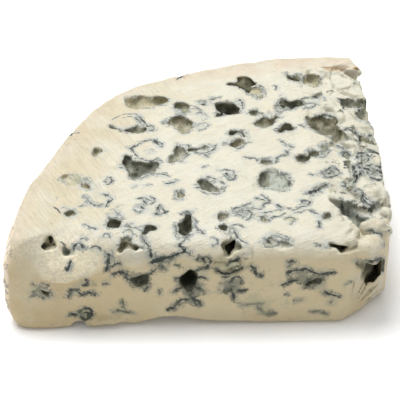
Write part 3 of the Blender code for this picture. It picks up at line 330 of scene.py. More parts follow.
FRONT_VEINS = (
    (1.0, 0.9, ((-3.4, -6.2), (-2.4, -6.6), (-1.6, -6.9))),
    (1.0, 0.9, ((-3.4, -8.2), (-2.6, -8.3), (-1.7, -8.9))),
    (1.0, 0.50, ((-9.75, -6.25), (-8.25, -5.75), (-6.0, -5.5), (-4.0, -5.0), (-1.75, -5.5))),
    (0.8, 0.5, ((-88.5, -4.25), (-89, -5.75), (-89.5, -7))),
    (0.75, 0.45, ((-78.5, -2), (-77.75, -1.75), (-78.25, -3.75), (-78.25, -6), (-78.75, -7.25))),
    (0.6, 0.3, ((-77, -6), (-76, -5.25), (-75.25, -5.25))),
    (0.7, 0.3, ((-85.5, -12.5), (-84.5, -12.25), (-84.25, -11.25), (-84.5, -10.75))),
    (0.6, 0.35, ((-79.75, -12.25), (-78.75, -12.25))),
    (0.75, 0.32, ((-89.75, -16.5), (-89.25, -15.5), (-88.5, -14), (-87.25, -14.25), (-86.5, -15.5))),
    (0.75, 0.32, ((-85.75, -16), (-84.75, -15.25), (-83.75, -15.25), (-82.25, -16))),
    (0.7, 0.35, ((-89.75, -23.25), (-88.75, -23), (-87.75, -23.25))),
    (0.6, 0.35, ((-86.75, -22), (-85.75, -21), (-84.25, -21), (-83.5, -22.5), (-84.25, -24.25), (-85.5, -25), (-86.75, -24))),
    (0.7, 0.4, ((-85.75, -22.5), (-84.5, -22.25), (-84.75, -23.5))),
    (0.4, 0.25, ((-77.25, -22.25), (-76.25, -21.75), (-74.75, -22), (-73.5, -22.5), (-72.25, -22.75))),
    (0.35, 0.3, ((-75, -18), (-74.75, -19), (-74.5, -20.5))),
    (0.6, 0.35, ((-77.25, -9), (-76.25, -8.5), (-75, -8), (-73.5, -8.5), (-74, -9.5), (-72.5, -11))),
    (0.5, 0.25, ((-67.75, -9), (-66.75, -8.75), (-65.75, -7.75))),
    (0.5, 0.25, ((-68, -12.5), (-67.75, -13.5), (-68.25, -14.5))),
    (0.35, 0.25, ((-64.5, -15.5), (-64.25, -14.5))),
    (0.9, 0.7, ((-66, -4.75), (-65, -4.25), (-63.75, -3.75), (-62.5, -3.5), (-61, -3.25))),
    (0.7, 0.4, ((-60.75, -3), (-60, -2.25), (-59, -2), (-57.5, -1.5), (-56.25, -1.75))),
    (0.7, 0.4, ((-58.75, 0.5), (-57.75, 0), (-57.25, -0.75), (-57.5, -1.5))),
    (0.7, 0.45, ((-67, 0.5), (-66.75, -1), (-66.5, -2.75))),
    (0.6, 0.35, ((-60, -6), (-59, -6.5))),
    (0.7, 0.4, ((-54.75, -8.25), (-54, -7.75), (-53.25, -7.25), (-52, -7.25), (-51, -6.5))),
    (0.6, 0.4, ((-54, -4.25), (-53.25, -3.5), (-52.25, -4.5), (-51.5, -5))),
    (0.6, 0.4, ((-53, -3), (-52.25, -4))),
    (0.6, 0.35, ((-51.25, -3.5), (-50.5, -4.25), (-50.5, -5.25))),
    (0.6, 0.35, ((-59.75, -10.5), (-58.5, -10.75))),
    (0.7, 0.4, ((-53.75, -10.75), (-53, -10.25), (-51.75, -10.75))),
    (0.6, 0.35, ((-54.25, -14), (-53.25, -14.25), (-52, -14.75))),
    (0.6, 0.35, ((-60.25, -15.25), (-59.5, -14.5), (-58.5, -14))),
    (0.45, 0.3, ((-53.75, -15.75), (-52.25, -15.75))),
    (0.7, 0.4, ((-62.25, -21.75), (-61.5, -21), (-60.5, -21.25))),
    (0.6, 0.28, ((-60.5, -21.25), (-59.5, -19.5), (-58.25, -18), (-56.5, -18), (-54.5, -17.25))),
    (0.6, 0.35, ((-56, -16.25), (-55.5, -17.75), (-53.75, -18.75), (-53, -20.25))),
    (0.5, 0.3, ((-54.75, -18.75), (-54.25, -20.25))),
    (0.6, 0.35, ((-48.5, -7.5), (-47.75, -8.5), (-47, -9), (-45.25, -9.25), (-43.5, -8.25), (-41.75, -7.25))),
    (0.5, 0.3, ((-45.75, -6.25), (-45, -5), (-44.25, -4.75), (-43.25, -4.75), (-42.75, -3.75))),
    (0.5, 0.3, ((-44.75, -7.5), (-43.25, -6.75), (-42.25, -6.5))),
    (0.5, 0.3, ((-47, -10.25), (-46, -10.5), (-45.25, -10.25))),
    (0.55, 0.3, ((-44.5, -11.75), (-44, -10.75), (-43, -10.25), (-41.75, -11.25), (-42, -12.75))),
    (0.7, 0.35, ((-42.5, -15.25), (-41.25, -15), (-40.25, -14.75))),
    (0.6, 0.3, ((-44, -16), (-43.75, -17), (-43.75, -18.5))),
    (0.75, 0.4, ((-39, -6.5), (-38.25, -7.75), (-37.75, -9), (-36.75, -10))),
    (0.4, 0.3, ((-36.25, -9.25), (-36.25, -10.25))),
    (0.5, 0.35, ((-28.75, -5.5), (-28, -5), (-27.25, -5.5))),
    (0.4, 0.3, ((-29, -7), (-28.25, -6.5))),
    (0.8, 0.28, ((-29, -9), (-28.25, -8.75), (-27, -8.25), (-25.75, -8.25), (-24, -7.75), (-23, -8.5), (-21.75, -9.25), (-19.75, -9.75), (-18.25, -9.5), (-16.5, -9.25))),
    (0.75, 0.28, ((-30.25, -13.25), (-29, -12.75), (-28, -12), (-27, -11.75), (-25.5, -11.25))),
    (0.7, 0.26, ((-18.25, -16), (-17.25, -16.75), (-16, -17.25), (-14.25, -18))),
    (0.4, 0.5, ((-26.75, -19.25), (-25.75, -18.75), (-24.75, -18.75))),
    (0.4, 0.35, ((-29.25, -16.75), (-28.5, -16.75))),
    (0.4, 0.35, ((-16.75, -20), (-15.75, -20))),
    (0.25, 0.5, ((-12.75, -13.25), (-11.75, -12.75))),
    (0.3, 0.5, ((-22, -23), (-20.5, -23.25), (-19.5, -22.75))),
    (0.3, 0.5, ((-19.25, -23.25), (-17.25, -24.25))),
    (0.3, 0.4, ((-41.75, -20.25), (-39.75, -20.25), (-37.25, -20), (-35.5, -20))),
    (0.25, 0.5, ((-37, -20.75), (-35.75, -22.75), (-36.25, -23.75))),
    (0.25, 0.4, ((-34, -23.75), (-31.75, -23.25))),
    (0.35, 0.35, ((-99.5, -12), (-98.75, -12.5))),
    (0.35, 0.35, ((-96.5, -11.75), (-95.25, -12.25))),
    (0.35, 0.35, ((-99.5, -14.75), (-98.5, -14.25))),
    (0.3, 0.3, ((-100.5, -16.75), (-99.5, -16))),
)

# Patches: middle, size, amount, kind (0 pale halo, 1 blue-grey, 2 olive, 3 brown).
TOP_PATCHES = (
    (-81.75, 20.5, 5, 4, 0.6, 1),
    (-88, 17.25, 4, 4, 0.5, 1),
    (-78, 15.5, 4.5, 4, 0.5, 1),
    (-69.75, 20.25, 4.5, 4, 0.5, 1),
    (-85.5, 25, 4, 3.5, 0.5, 1),
    (-75.5, 20, 4, 4, 0.5, 0),
    (-89, 31.75, 4.5, 3.5, 0.8, 2),
    (-84, 30, 7, 5, 0.6, 0),
    (-81.25, 45, 3, 3, 0.5, 0),
    (-1.5, 35.5, 4.5, 6, 0.6, 1),
    (-6.5, 98, 8, 3.6, 0.7, 3),
    (-3.2, 97.2, 3.4, 2.6, 1.0, 3),
    (1.4, 98, 2.8, 3.2, 1.0, 3),
    (-14, 104, 9, 3, 0.25, 3),
    (-13, 0.75, 3, 3.5, 0.8, 2),
    (-67.25, 48, 4.75, 5, 0.9, 0),
    (-70.5, 64.25, 3.75, 3.5, 0.6, 0),
    (-50.75, 68, 5, 6, 0.9, 0),
    (-51.5, 62, 4.25, 4.75, 0.7, 0),
    (-14, 36, 4.75, 4.25, 0.9, 1),
    (-41.25, 16.75, 5.75, 6.25, 0.8, 1),
    (-30, 18, 2.75, 3.5, 0.6, 1),
    (-23.5, 19.75, 3.5, 3.5, 0.5, 1),
    (-54.75, 17.75, 3, 3, 0.8, 0),
    (-27.25, 12.5, 4, 4.25, 0.7, 2),
    (-44.25, 35, 3.5, 4.25, 0.6, 1),
    (-15.25, 77.75, 7, 5.75, 0.8, 0),
    (-24.5, 81.25, 4.5, 5.25, 0.5, 0),
    (-11.75, 79.5, 2.5, 5.25, 0.5, 0),
    (-78.75, 23.5, 3.5, 6, 0.5, 0),
    (-67.75, 23.25, 4.25, 3.5, 0.5, 0),
    (-84, 22.5, 2.75, 4, 0.4, 0),
    (-75.5, 16.5, 3.25, 4.25, 0.5, 0),
    (-72.25, 8.5, 2.75, 4.25, 0.7, 2),
    (-3.5, 43.25, 3.5, 5.5, 0.9, 1),
    (-1.25, 35.75, 4.25, 6.5, 0.9, 1),
    (-6.25, 37.5, 2.25, 4.25, 0.6, 1),
    (-8.75, 47.25, 3, 4.5, 0.6, 1),
    (-8.75, 12.75, 5, 3, 0.8, 1),
    (-14.25, 26.5, 3, 3.5, 0.6, 2),
    (-31.25, 4.75, 5, 2.75, 0.6, 1),
    (-34.25, 1.25, 2.75, 2.25, 0.5, 2),
    (-40.75, -0.5, 2.5, 5.25, 0.9, 0),
    (-43.25, 7.75, 2.75, 4.25, 0.6, 0),
    (-59.75, 8.25, 1.5, 5.5, 0.6, 1),
    (-54.25, 11.75, 2, 5.75, 0.5, 0),
    (-85, 4, 2.5, 3.75, 0.6, 0),
    (-85, 0.5, 3.75, 3.5, 0.7, 1),
    (-81.75, -0.5, 3.25, 3.5, 0.6, 2),
    (-36.75, 40.75, 1.75, 1.5, 0.3, 0),
    (-32.5, 40, 3.5, 2.75, 0.4, 0),
    (-44, 53.75, 8.5, 10.25, 0.35, 0),
    (-58, 49, 7.75, 9, 0.4, 0),
    (-48.75, 49.25, 6, 4.5, 0.5, 0),
    (-89, 35.5, 6.5, 5.25, 0.5, 2),
    (-9.25, 26.5, 5.75, 7.25, 0.5, 1),
    (-5.5, 59.25, 5, 3.5, 0.4, 2),
    (-8.75, 62.75, 3, 5.5, 0.7, 0),
    (-25.75, 73.5, 2.75, 3.75, 0.8, 1),
    (-29.5, 70, 2.5, 3.75, 0.4, 1),
    (-49.75, 3.75, 2.75, 4, 0.4, 0),
)

FRONT_PATCHES = (
    (-69.75, -10.25, 4.5, 3.25, 0.5, 1),
    (-56.5, -12.25, 6, 8.5, 0.7, 1),
    (-43.25, -12.75, 4, 4.25, 0.7, 1),
    (-22.25, -11.75, 6.75, 4, 0.9, 1),
    (-85.25, -23, 3.75, 4.5, 0.9, 2),
    (-88, -15, 3.25, 2.5, 0.5, 0),
    (-84, -15.75, 3.25, 1.75, 0.4, 0),
    (-45.25, -6.5, 6.5, 4.75, 0.9, 2),
    (-63.25, -4, 5.5, 2.5, 0.9, 1),
    (-40.75, -3, 2.5, 4, 0.7, 0),
    (-78.25, -4.5, 2, 6.25, 0.6, 0),
    (-89, -5.75, 1.75, 3.75, 0.5, 0),
    (-52.25, -4.5, 3.75, 3, 0.6, 2),
    (-56, -18.75, 6.25, 3.25, 0.6, 1),
    (-98, -14, 4.5, 4.75, 0.5, 2),
    (-40.5, -18.5, 9.5, 5.75, 0.5, 2),
    (-35.75, -22.25, 8.5, 3.75, 0.5, 2),
    (-20.25, -23.25, 5, 1.75, 0.4, 2),
    (-74.5, -21.25, 5.5, 3, 0.3, 2),
    (-12.5, -13, 2.25, 2.25, 0.3, 2),
    (-66, -4.75, 1.75, 3.5, 0.7, 1),
    (-28, -5.75, 2.25, 2.75, 0.4, 1),
    (-61.5, -6.5, 2.25, 3.5, 0.15, 3),
    (-55.5, -13.5, 6.5, 10.5, 0.9, 1),
    (-47.25, -5, 4.75, 5, 1, 2),
    (-44.25, -13.5, 6, 6.5, 0.8, 1),
    (-36, -18.75, 8.25, 6.25, 0.6, 2),
    (-33.5, -23.5, 5.25, 3, 0.8, 1),
    (-63.75, -3.75, 4.75, 3.75, 0.9, 1),
    (-70.75, -9.5, 4.75, 3.75, 0.7, 1),
    (-51.25, -3.5, 3.5, 2.75, 0.8, 1),
    (-25.5, -10, 6, 6.5, 0.5, 1),
    (-75.5, -19.75, 4.5, 4.75, 0.45, 2),
    (-92, -14.75, 3.75, 5.75, 0.5, 2),
    (-85.5, -23.5, 3.75, 4, 0.7, 1),
    (-18, -23.75, 5.25, 3, 0.6, 2),
    (-12.75, -13, 2.25, 2.75, 0.4, 1),
    (-43.25, -7.25, 3.75, 2.75, 0.9, 2),
    (-29.5, -20.5, 4.5, 5, 0.45, 2),
    (-39.75, -21.5, 5.25, 4, 0.4, 2),
    (-77, -3.25, 2.5, 3.25, 0.6, 1),
    (-88.5, -5.5, 2.25, 3.75, 0.5, 1),
    (-82.25, -12.5, 3, 3.75, 0.4, 1),
    (-33.75, -13.25, 2.5, 2.75, 0.4, 2),
    (-11, -5, 3, 2.5, 0.9, 0),
)

# Cavities in the right cut: y, z, length, height, turn, depth.
RIGHT_HOLES = (
    (27.0, -9.5, 6.0, 3.6, 15, 4.0),
    (41.5, -16.0, 4.4, 3.4, -20, 3.6),
    (55.5, -8.2, 5.4, 4.0, 8, 4.2),
    (70.0, -14.6, 7.0, 3.6, -14, 4.0),
    (83.0, -8.4, 4.0, 2.8, 20, 2.8),
    (91.0, -17.5, 4.6, 2.6, 5, 2.6),
)

# Hollows laid open by the broken tip: depth, how olive, how dark, rim in x and z.
SIGHT_HOLES = (
    (3.4, 0.8, 0.8, ((-10.25, -5.75), (-7.75, -5.25), (-4.75, -5.75), (-3.0, -5.4), (-2.5, -8.75), (-3.25, -9.75),
                       (-4.5, -11.0), (-6.0, -12.75), (-7.5, -13.75), (-8.5, -12.0), (-9.5, -8.5))),
)

# Curds and lumps that stand out of the body: middle, radii, turn, roughness.
CURDS = (
    ((-3.7, 10.9, -2.8), (4.7, 3.0, 2.8), -16, 0.20),
    ((-5.8, 4.6, -4.6), (4.6, 3.9, 3.9), 6, 0.12),
    ((-9.9, 8.6, -1.9), (1.1, 2.0, 1.3), 20, 0.20),
    ((-11.6, 4.2, -2.4), (2.4, 1.1, 1.4), 35, 0.20),
    ((-3.6, 27.2, -2.6), (4.2, 4.2, 3.3), 10, 0.22),
    ((0.0, 26.4, -3.8), (2.6, 3.8, 3.4), 0, 0.20),
    ((0.2, 18.9, -4.0), (2.0, 2.4, 2.4), 0, 0.30),
    ((-10.6, 21.6, -3.9), (3.4, 1.2, 1.0), -10, 0.30),
    ((-1.5, 37.0, -4.6), (3.2, 4.6, 3.6), 0, 0.25),
    ((-8.4, 57.8, -1.4), (2.3, 2.6, 1.9), 0, 0.22),
    ((-71.2, 2.2, -4.2), (4.7, 2.7, 3.7), 0, 0.06),
    ((-45.2, 1.6, -4.4), (3.3, 1.5, 1.0), -4, 0.35),
    ((-43.4, 1.2, -6.2), (3.7, 1.4, 1.0), 6, 0.35),
    ((-47.2, 1.4, -6.9), (2.2, 1.4, 1.1), 0, 0.35),
    ((-41.0, 2.3, -2.5), (1.9, 3.0, 2.1), 20, 0.15),
    ((-1.2, 89.0, -1.6), (4.2, 3.2, 2.2), -30, 0.20),
    ((-5.4, 100.6, -0.7), (7.5, 2.5, 1.9), -4, 0.22),
    ((0.6, 98.2, -0.7), (2.2, 1.6, 1.3), -40, 0.35),
)

# Breaks where paste is gone before the curds: middle, radii, turn.
BREAKS = (
    ((-0.2, 34.0, 1.6), (4.6, 13.0, 3.2), 0),
    ((2.0, 93.6, -1.5), (6.0, 1.9, 6.0), -12),
    ((-5.4, 97.3, 0.5), (4.6, 0.9, 1.4), 4),
    ((-57.4, 94.4, 0.6), (1.5, 1.6, 1.7), 30),
    ((-90.9, 59.2, 0.6), (1.6, 1.0, 1.2), 50),
    ((-44.8, -0.4, -6.0), (5.2, 1.9, 3.2), 0),
)

# The broken corner: its floor's depth and its rim on the top.
BROKEN = (3.7, ((-16.0, 22.0), (-14.0, 18.5), (-12.0, 16.0), (-10.0, 13.0), (-9.0, 8.5), (-10.5, 5.5), (-12.5, 3.0),
                (-13.0, -3.0), (3.0, -3.0), (4.0, 16.0), (3.5, 21.5), (-0.5, 23.5), (-4.0, 20.0), (-9.5, 21.0), (-13.0, 22.5)))


# ---- small tools ----------------------------------------------------------
class Lattice:
    """Smooth seeded noise, on the grid or at scattered points."""

    def __init__(self, seed, cell):
        self.cell = np.broadcast_to(np.asarray(cell, float), (3,))
        self.start = np.array([XS[0], YS[0], ZS[0]]) - 2 * self.cell
        self.count = (np.array([XS[-1] - XS[0], YS[-1] - YS[0], ZS[-1] - ZS[0]]) / self.cell).astype(int) + 8
        self.values = np.random.default_rng(seed).standard_normal(self.count) * 2.6

    @staticmethod
    def weights(f):
        return ((1 - f) ** 3 / 6, (3 * f ** 3 - 6 * f ** 2 + 4) / 6,
                (-3 * f ** 3 + 3 * f ** 2 + 3 * f + 1) / 6, f ** 3 / 6)

    def rows(self, places, d):
        u = np.clip((places - self.start[d]) / self.cell[d], 1, self.count[d] - 3.001)
        i = u.astype(int)
        out = np.zeros((len(places), self.count[d]), np.float32)
        for k, w in enumerate(self.weights(u - i)):
            out[np.arange(len(places)), i - 1 + k] += w
        return out

    def grid(self, xs, ys, zs):
        a, b, c = self.rows(xs, 0), self.rows(ys, 1), self.rows(zs, 2)
        v = np.tensordot(c, self.values.astype(np.float32), (1, 2))
        v = np.tensordot(b, v, (1, 2))
        return np.ascontiguousarray(np.tensordot(a, v, (1, 2)))

    def at(self, p):
        u = np.clip((p - self.start) / self.cell, 1, self.count - 3.001)
        i = u.astype(int)
        w = [self.weights(u[:, d] - i[:, d]) for d in range(3)]
        out = np.zeros(len(p))
        for a in range(4):
            for b in range(4):
                for c in range(4):
                    out += w[0][a] * w[1][b] * w[2][c] * self.values[i[:, 0] - 1 + a, i[:, 1] - 1 + b, i[:, 2] - 1 + c]
        return out


def smax(a, b, k):
    h = np.maximum(k - np.abs(a - b), 0.0)
    return np.maximum(a, b) + h * h / (4.0 * k)


def smin(a, b, k):
    return -smax(-a, -b, k)


def step(lo, hi, v):
    t = np.clip((v - lo) / (hi - lo), 0.0, 1.0)
    return t * t * (3 - 2 * t)


def bump(t):
    return np.where(np.abs(t) >= 1, 0.0, (1 - np.minimum(np.abs(t), 1) ** 2) ** 2)


def curve(points, closed, per=5):
    """A smooth curve through points, as an array of points."""
    p = np.asarray(points, float)
    if len(p) < 3 and not closed:
        t = np.linspace(0, 1, 6)[:, None]
        return p[0] * (1 - t) + p[-1] * t
    if closed:
        q = np.vstack([p[-1], p, p[0], p[1]])
        spans = len(p)
    else:
        q = np.vstack([2 * p[0] - p[1], p, 2 * p[-1] - p[-2]])
        spans = len(p) - 1
    t = (np.arange(per) / per)[:, None]
    out = []
    for i in range(spans):
        a, b, c, d = q[i], q[i + 1], q[i + 2], q[i + 3]
        out.append(0.5 * (2 * b + (c - a) * t + (2 * a - 5 * b + 4 * c - d) * t * t + (3 * b - a - 3 * c + d) * t ** 3))
    out = np.vstack(out)
    return out if closed else np.vstack([out, p[-1]])


def loop_distance(x, y, loop):
    """Signed distance to a closed loop, below zero inside, and the nearest segment."""
    best = np.full(x.shape, 1e9)
    which = np.zeros(x.shape, np.int32)
    inside = np.zeros(x.shape, bool)
    ends = np.roll(loop, -1, axis=0)
    for k, (a, b) in enumerate(zip(loop, ends)):
        e = b - a
        t = np.clip(((x - a[0]) * e[0] + (y - a[1]) * e[1]) / max(1e-12, e @ e), 0, 1)
        d = (x - a[0] - t * e[0]) ** 2 + (y - a[1] - t * e[1]) ** 2
        near = d < best
        best = np.where(near, d, best)
        which[near] = k
        if (a[1] > b[1]) != (a[1] < b[1]) or a[1] != b[1]:
            cross = ((a[1] > y) != (b[1] > y)) & (x < (b[0] - a[0]) * (y - a[1]) / (b[1] - a[1] + 1e-30) + a[0])
            inside ^= cross
    return np.where(inside, -1, 1) * np.sqrt(best), which


# ---- the body -------------------------------------------------------------
def rind_point(angle):
    ray = np.array([-math.cos(angle), math.sin(angle)])
    low, high = 60.0, 160.0
    while high - low > 0.001:
        r = (low + high) / 2
        p = ray * r
        out = abs((p[0] - WHEEL_X) / WHEEL_A) ** SQUARENESS + abs((p[1] - WHEEL_Y) / WHEEL_B) ** SQUARENESS
        low, high = (r, high) if out < 1.0 else (low, r)
    deg = math.degrees(angle)
    wave = RIND_FLATS * math.cos(math.tau * (deg - 12.0) / FLATS_EVERY) * min(1.0, deg / 9.0)
    return ray * (low + wave + 1.3 * max(0.0, 1.0 - deg / 12.0))


def right_face(y):
    """The x of the right cut at a distance back from the front cut."""
    return 0.5 + RIGHT_BULGE * np.sin(np.pi * np.clip((y - TIP_BREAK) / (106.0 - TIP_BREAK), 0, 1))


def outline():
    pts, share = [], []

    def add(p, s):
        pts.append(p)
        share.append(s)

    corner = rind_point(0.0)
    for i in range(60):
        t = i / 60
        add((-TIP_BREAK * (1 - t) + corner[0] * t, 0.0), 0.0)
    for i in range(171):
        add(rind_point(math.radians(0.8 + 89.8 * i / 170)), 1.0)
    back = pts[-1]
    for i in range(1, 60):
        t = i / 60
        y = back[1] * (1 - t) + TIP_BREAK * t
        add((back[0] * (1 - t) + 0.5 * t + RIGHT_BULGE * math.sin(math.pi * t), y), 0.0)
    for i in range(12):
        t = i / 12
        out = 1.1 * math.sin(math.pi * t) + 1.2 * (1 - t) ** 2
        add((0.5 * (1 - t) - TIP_BREAK * t + 0.7 * out, (TIP_BREAK - 1.5) * (1 - t) - 0.7 * out), 0.0)
    p, s = np.array(pts), np.array(share)
    for _ in range(2):
        p = (np.roll(p, 1, 0) + 2 * p + np.roll(p, -1, 0)) / 4
    return p, s


def top_wave(x, y):
    def n(scale, level):
        q = Vector((x, y, 0)) / scale + SEED * (1.0 + level)
        return noise.noise(q)
    z = 0.35 * (n(26, 0) + 0.5 * n(9, 1))
    crumbly = max(0.0, min(1.0, (x + 16.0) / 10.0)) * max(0.0, min(1.0, (90.0 - y) / 12.0))
    z += crumbly * (-0.6 + 0.8 * n(6.5, 2))
    return z


def arch(x, y):
    lift = sum(high * bump((x - middle) / half) for middle, half, high in ARCHES)
    lift = lift * bump(np.maximum(0.0, y) / ARCH_DEPTH)
    # beside the arch a notch, and a flake that hangs above the board
    notch = 2.1 * step(-90.2, -88.2, x) * step(-84.9, -86.0, x) * step(7, 3, y)
    flake = (0.9 + 0.05 * (x + 85)) * step(-86, -85, x) * step(-70, -76, x) * step(5, 2, y)
    return np.maximum(lift, notch + flake)


X2, Y2 = np.meshgrid(XS, YS, indexing="ij")
LOOP, SHARE = outline()
PLAN, nearest = loop_distance(X2, Y2, LOOP)
RIND = SHARE[nearest]
TOP = np.vectorize(top_wave)(X2, Y2)


def smear(field, cells):
    """Three box blurs along both axes."""
    for axis in (0, 1, 0, 1, 0, 1):
        pad = np.pad(field, [(cells + 1, cells) if a == axis else (0, 0) for a in (0, 1)], mode="edge")
        total = np.cumsum(pad, axis=axis)
        n = field.shape[axis]
        high = np.take(total, np.arange(2 * cells + 1, 2 * cells + 1 + n), axis=axis)
        low = np.take(total, np.arange(n), axis=axis)
        field = (high - low) / (2 * cells + 1)
    return field


RIND = smear(RIND, 4)
swell = Lattice(11, (7.0, 7.0, 9.0)).grid(XS, YS, np.array([0.0]))[:, :, 0]
knobs = Lattice(12, (2.6, 2.2, 9.0)).grid(XS, YS, np.array([0.0]))[:, :, 0]
TOP += 0.24 * swell + 0.15 * knobs
TOP += 0.7 * bump((X2 + 9.0) / 14.0) * bump((Y2 - 101.0) / 7.0)
# torn chunks on the right: each has its own height and tilt, with cracks between
CHUNK_ZONE = step(-24, -9, X2 + 0.07 * (Y2 - 50)) * step(101, 90, Y2)
rng = np.random.default_rng(5)
seeds = np.column_stack([rng.uniform(-42, 6, 130), rng.uniform(0, 104, 130)])
tilt = rng.normal(0, 0.10, (130, 2))
lift = rng.normal(-0.1, 0.40, 130)
bent = 1.5 * Lattice(13, (3.6, 3.6, 9.0)).grid(XS, YS, np.array([0.0]))[:, :, 0] + 0.9 * knobs
first, second = np.full(X2.shape, 1e9), np.full(X2.shape, 1e9)
height, weight = np.zeros(X2.shape), np.zeros(X2.shape)
for (a, b), (u, v), h in zip(seeds, tilt, lift):
    d = np.hypot(X2 + bent - a, (Y2 - bent - b) * 0.8) * (1 + 0.35 * h)
    first, second = np.minimum(first, d), np.minimum(second, np.maximum(first, d))
    w = np.exp(-np.minimum(d - 0.4 * h, 12) * 4.0)
    height += w * (h + u * (X2 - a) + v * (Y2 - b))
    weight += w
CRACK = np.where(CHUNK_ZONE > 0.02, second - first + 3.0 * step(0.6, 0.2, CHUNK_ZONE), 9.0)
TOP += CHUNK_ZONE * (height / np.maximum(weight, 1e-9) - 1.15 * np.exp(-(CRACK / 0.6) ** 2) * step(-0.2, 0.4, swell))
# the torn ledge below the back rim
ledge = np.interp(X2, [-26, -23, -21, -18.4, -16.9, -14.8, -12.3, -10.7, -8, -4, 0, 4],
                  [97, 93, 91, 92, 90.2, 87.8, 90, 92.5, 94, 93, 91, 90])
TOP += 0.9 * step(-0.4, 0.5, Y2 - ledge) * step(-27, -22, X2) * step(12, 3, Y2 - ledge)
# the rind's rim rides up a little and then rolls over
TOP += 0.35 * np.exp(-((PLAN + 1.6) / 1.5) ** 2) * RIND

cut_in = np.interp(-ZS, [-z for _, z in CUT_PROFILE], [i for i, _ in CUT_PROFILE])
rind_in = np.interp(-ZS, [-z for _, z in RIND_PROFILE], [i for i, _ in RIND_PROFILE])
Z3 = ZS[None, None, :].astype(np.float32)
side = (PLAN[:, :, None] + cut_in * (1 - RIND[:, :, None]) + rind_in * RIND[:, :, None]).astype(np.float32)
wave = Lattice(1, 12.0).grid(XS, YS, ZS)
ripple = Lattice(2, (3.4, 3.4, 2.2)).grid(XS, YS, ZS)
side += (0.10 + 0.20 * RIND[:, :, None]) * wave + (0.03 + 0.16 * RIND[:, :, None]) * ripple
del wave
# the front cut bows out at the bottom left and has a crisp ledge at the top left
front_zone = step(16, 10, Y2) * (1 - RIND)
FX, FZ = np.meshgrid(XS, ZS, indexing="ij")
bow = 1.3 * bump((FX + 98) / 15) * step(-12, -24, FZ)
bow += 0.5 * bump((FX + 30) / 40) * bump((FZ + 16) / 12)
bow += 1.1 * step(-86.2, -85.0, FX) * step(-73, -79, FX) * step(-22.6, -24.6, FZ) * (1 + 0.35 * np.sin(FX * 2.3) * np.sin(FZ * 1.7 + FX))
LEAN_DEPTH = np.interp(XS, [x for x, _, _ in LEAN], [d for _, _, d in LEAN])
bow += 1.2 * step(-95.0, -94.2, FX) * step(-75, -82, FX) * step(-3, -8, FZ) * step(-LEAN_DEPTH[:, None] - 0.15, -LEAN_DEPTH[:, None] + 0.2, FZ)
lean = np.interp(FX, [x for x, _, _ in LEAN], [b for _, b, _ in LEAN])
bow -= lean * np.clip(1 + FZ / LEAN_DEPTH[:, None], 0, 1.1) ** 1.15
side -= (front_zone[:, :, None] * bow[:, None, :]).astype(np.float32)
shoulder = np.interp(X2, [x for x, _ in SHOULDER], [r for _, r in SHOULDER])
near_front = step(16, 11, Y2) * (1 - RIND)
soft = ((0.9 + 1.3 * RIND) * (1 - near_front) + shoulder * near_front)[:, :, None]
body = smax(side, Z3 - TOP[:, :, None], soft)
body = smax(body, arch(X2, Y2)[:, :, None] - Z3 - HEIGHT, 1.2).astype(np.float32)

# ---- curds and crumbs of the broken tip ------------------------------------
knobbly = Lattice(3, 2.3).grid(XS, YS, ZS) * 0.75 + Lattice(4, 1.15).grid(XS, YS, ZS) * 0.5


def block(x0, x1, y0, y1, z0, z1):
    """The part of the grid inside a box, as slices."""
    def cut(v, a, b):
        return slice(max(0, int(np.searchsorted(v, a)) - 1), min(len(v), int(np.searchsorted(v, b)) + 1))
    return cut(XS, x0, x1), cut(YS, y0, y1), cut(ZS, z0, z1)


def ellipsoid(middle, radii, turn, pad=3.0):
    """An ellipsoid's block of the grid, and its rough distance there."""
    x, y, z = middle
    reach = max(radii) + pad
    s = block(x - reach, x + reach, y - reach, y + reach, z - reach, z + reach)
    u = XS[s[0]][:, None, None] - x
    v = YS[s[1]][None, :, None] - y
    w = Z3[:, :, s[2]] - z
    c, q = math.cos(math.radians(turn)), math.sin(math.radians(turn))
    e = np.sqrt(((u * c + v * q) / radii[0]) ** 2 + ((v * c - u * q) / radii[1]) ** 2 + (w / radii[2]) ** 2)
    return s, ((e - 1) * min(radii) * (0.5 + 0.5 * np.minimum(e, 2))).astype(np.float32)


s = block(-18, 6, -4, 26, -8, 5)
flat, _ = loop_distance(X2[s[:2]], Y2[s[:2]], curve(BROKEN[1], True))
body[s] = smax(body[s], -smax(flat[:, :, None] + 0.3 * knobbly[s], -(Z3[:, :, s[2]] + BROKEN[0]) + 0.5 * knobbly[s], 1.4), 0.5)
for middle, radii, turn in BREAKS:
    s, e = ellipsoid(middle, radii, turn)
    body[s] = smax(body[s], -(e + 0.35 * knobbly[s]), 0.8)
for middle, radii, turn, rough in CURDS:
    s, e = ellipsoid(middle, radii, turn)
    body[s] = smin(body[s], e + rough * knobbly[s], 0.55)

# the tip's lower edge is broken off at a slant, and the face above it tore in ridges
s = block(-24, 6, -4, 22, -HEIGHT - 1, -4)
t = -VIEW[1] / (YS[s[1]][None, :, None] - VIEW[1])
u = VIEW[0] + (XS[s[0]][:, None, None] - VIEW[0]) * t + 0 * ZS[s[2]][None, None, :]
v = VIEW[2] + (ZS[s[2]][None, None, :] - VIEW[2]) * t + 0 * XS[s[0]][:, None, None]
r, a = np.hypot(u + 10.8, v + 24.6), np.arctan2(v + 24.6, u + 10.8)
fan = step(3, 6.5, r) * step(14.5, 11, r) * step(0.55, 0.8, a) * step(1.75, 1.5, a)
ridges = np.sin(46 * a + 2.2 * np.sin(9 * a) + 0.25 * r) + 0.6 * np.sin(83 * a + 0.4 * r)
body[s] = smax(body[s] + 0.34 * fan * ridges, (u + 1.9) * 0.718 - (v + 15.8) * 0.696 + 0.25 * knobbly[s], 1.0).astype(np.float32)

ragged = (step(-36, -16, X2 + 0.10 * (Y2 - 50)) * step(104, 94, Y2))[:, :, None]
body += ((0.03 + ragged * 0.13) * knobbly * step(-12, -3, Z3)).astype(np.float32)
del ripple
skin = body.copy()

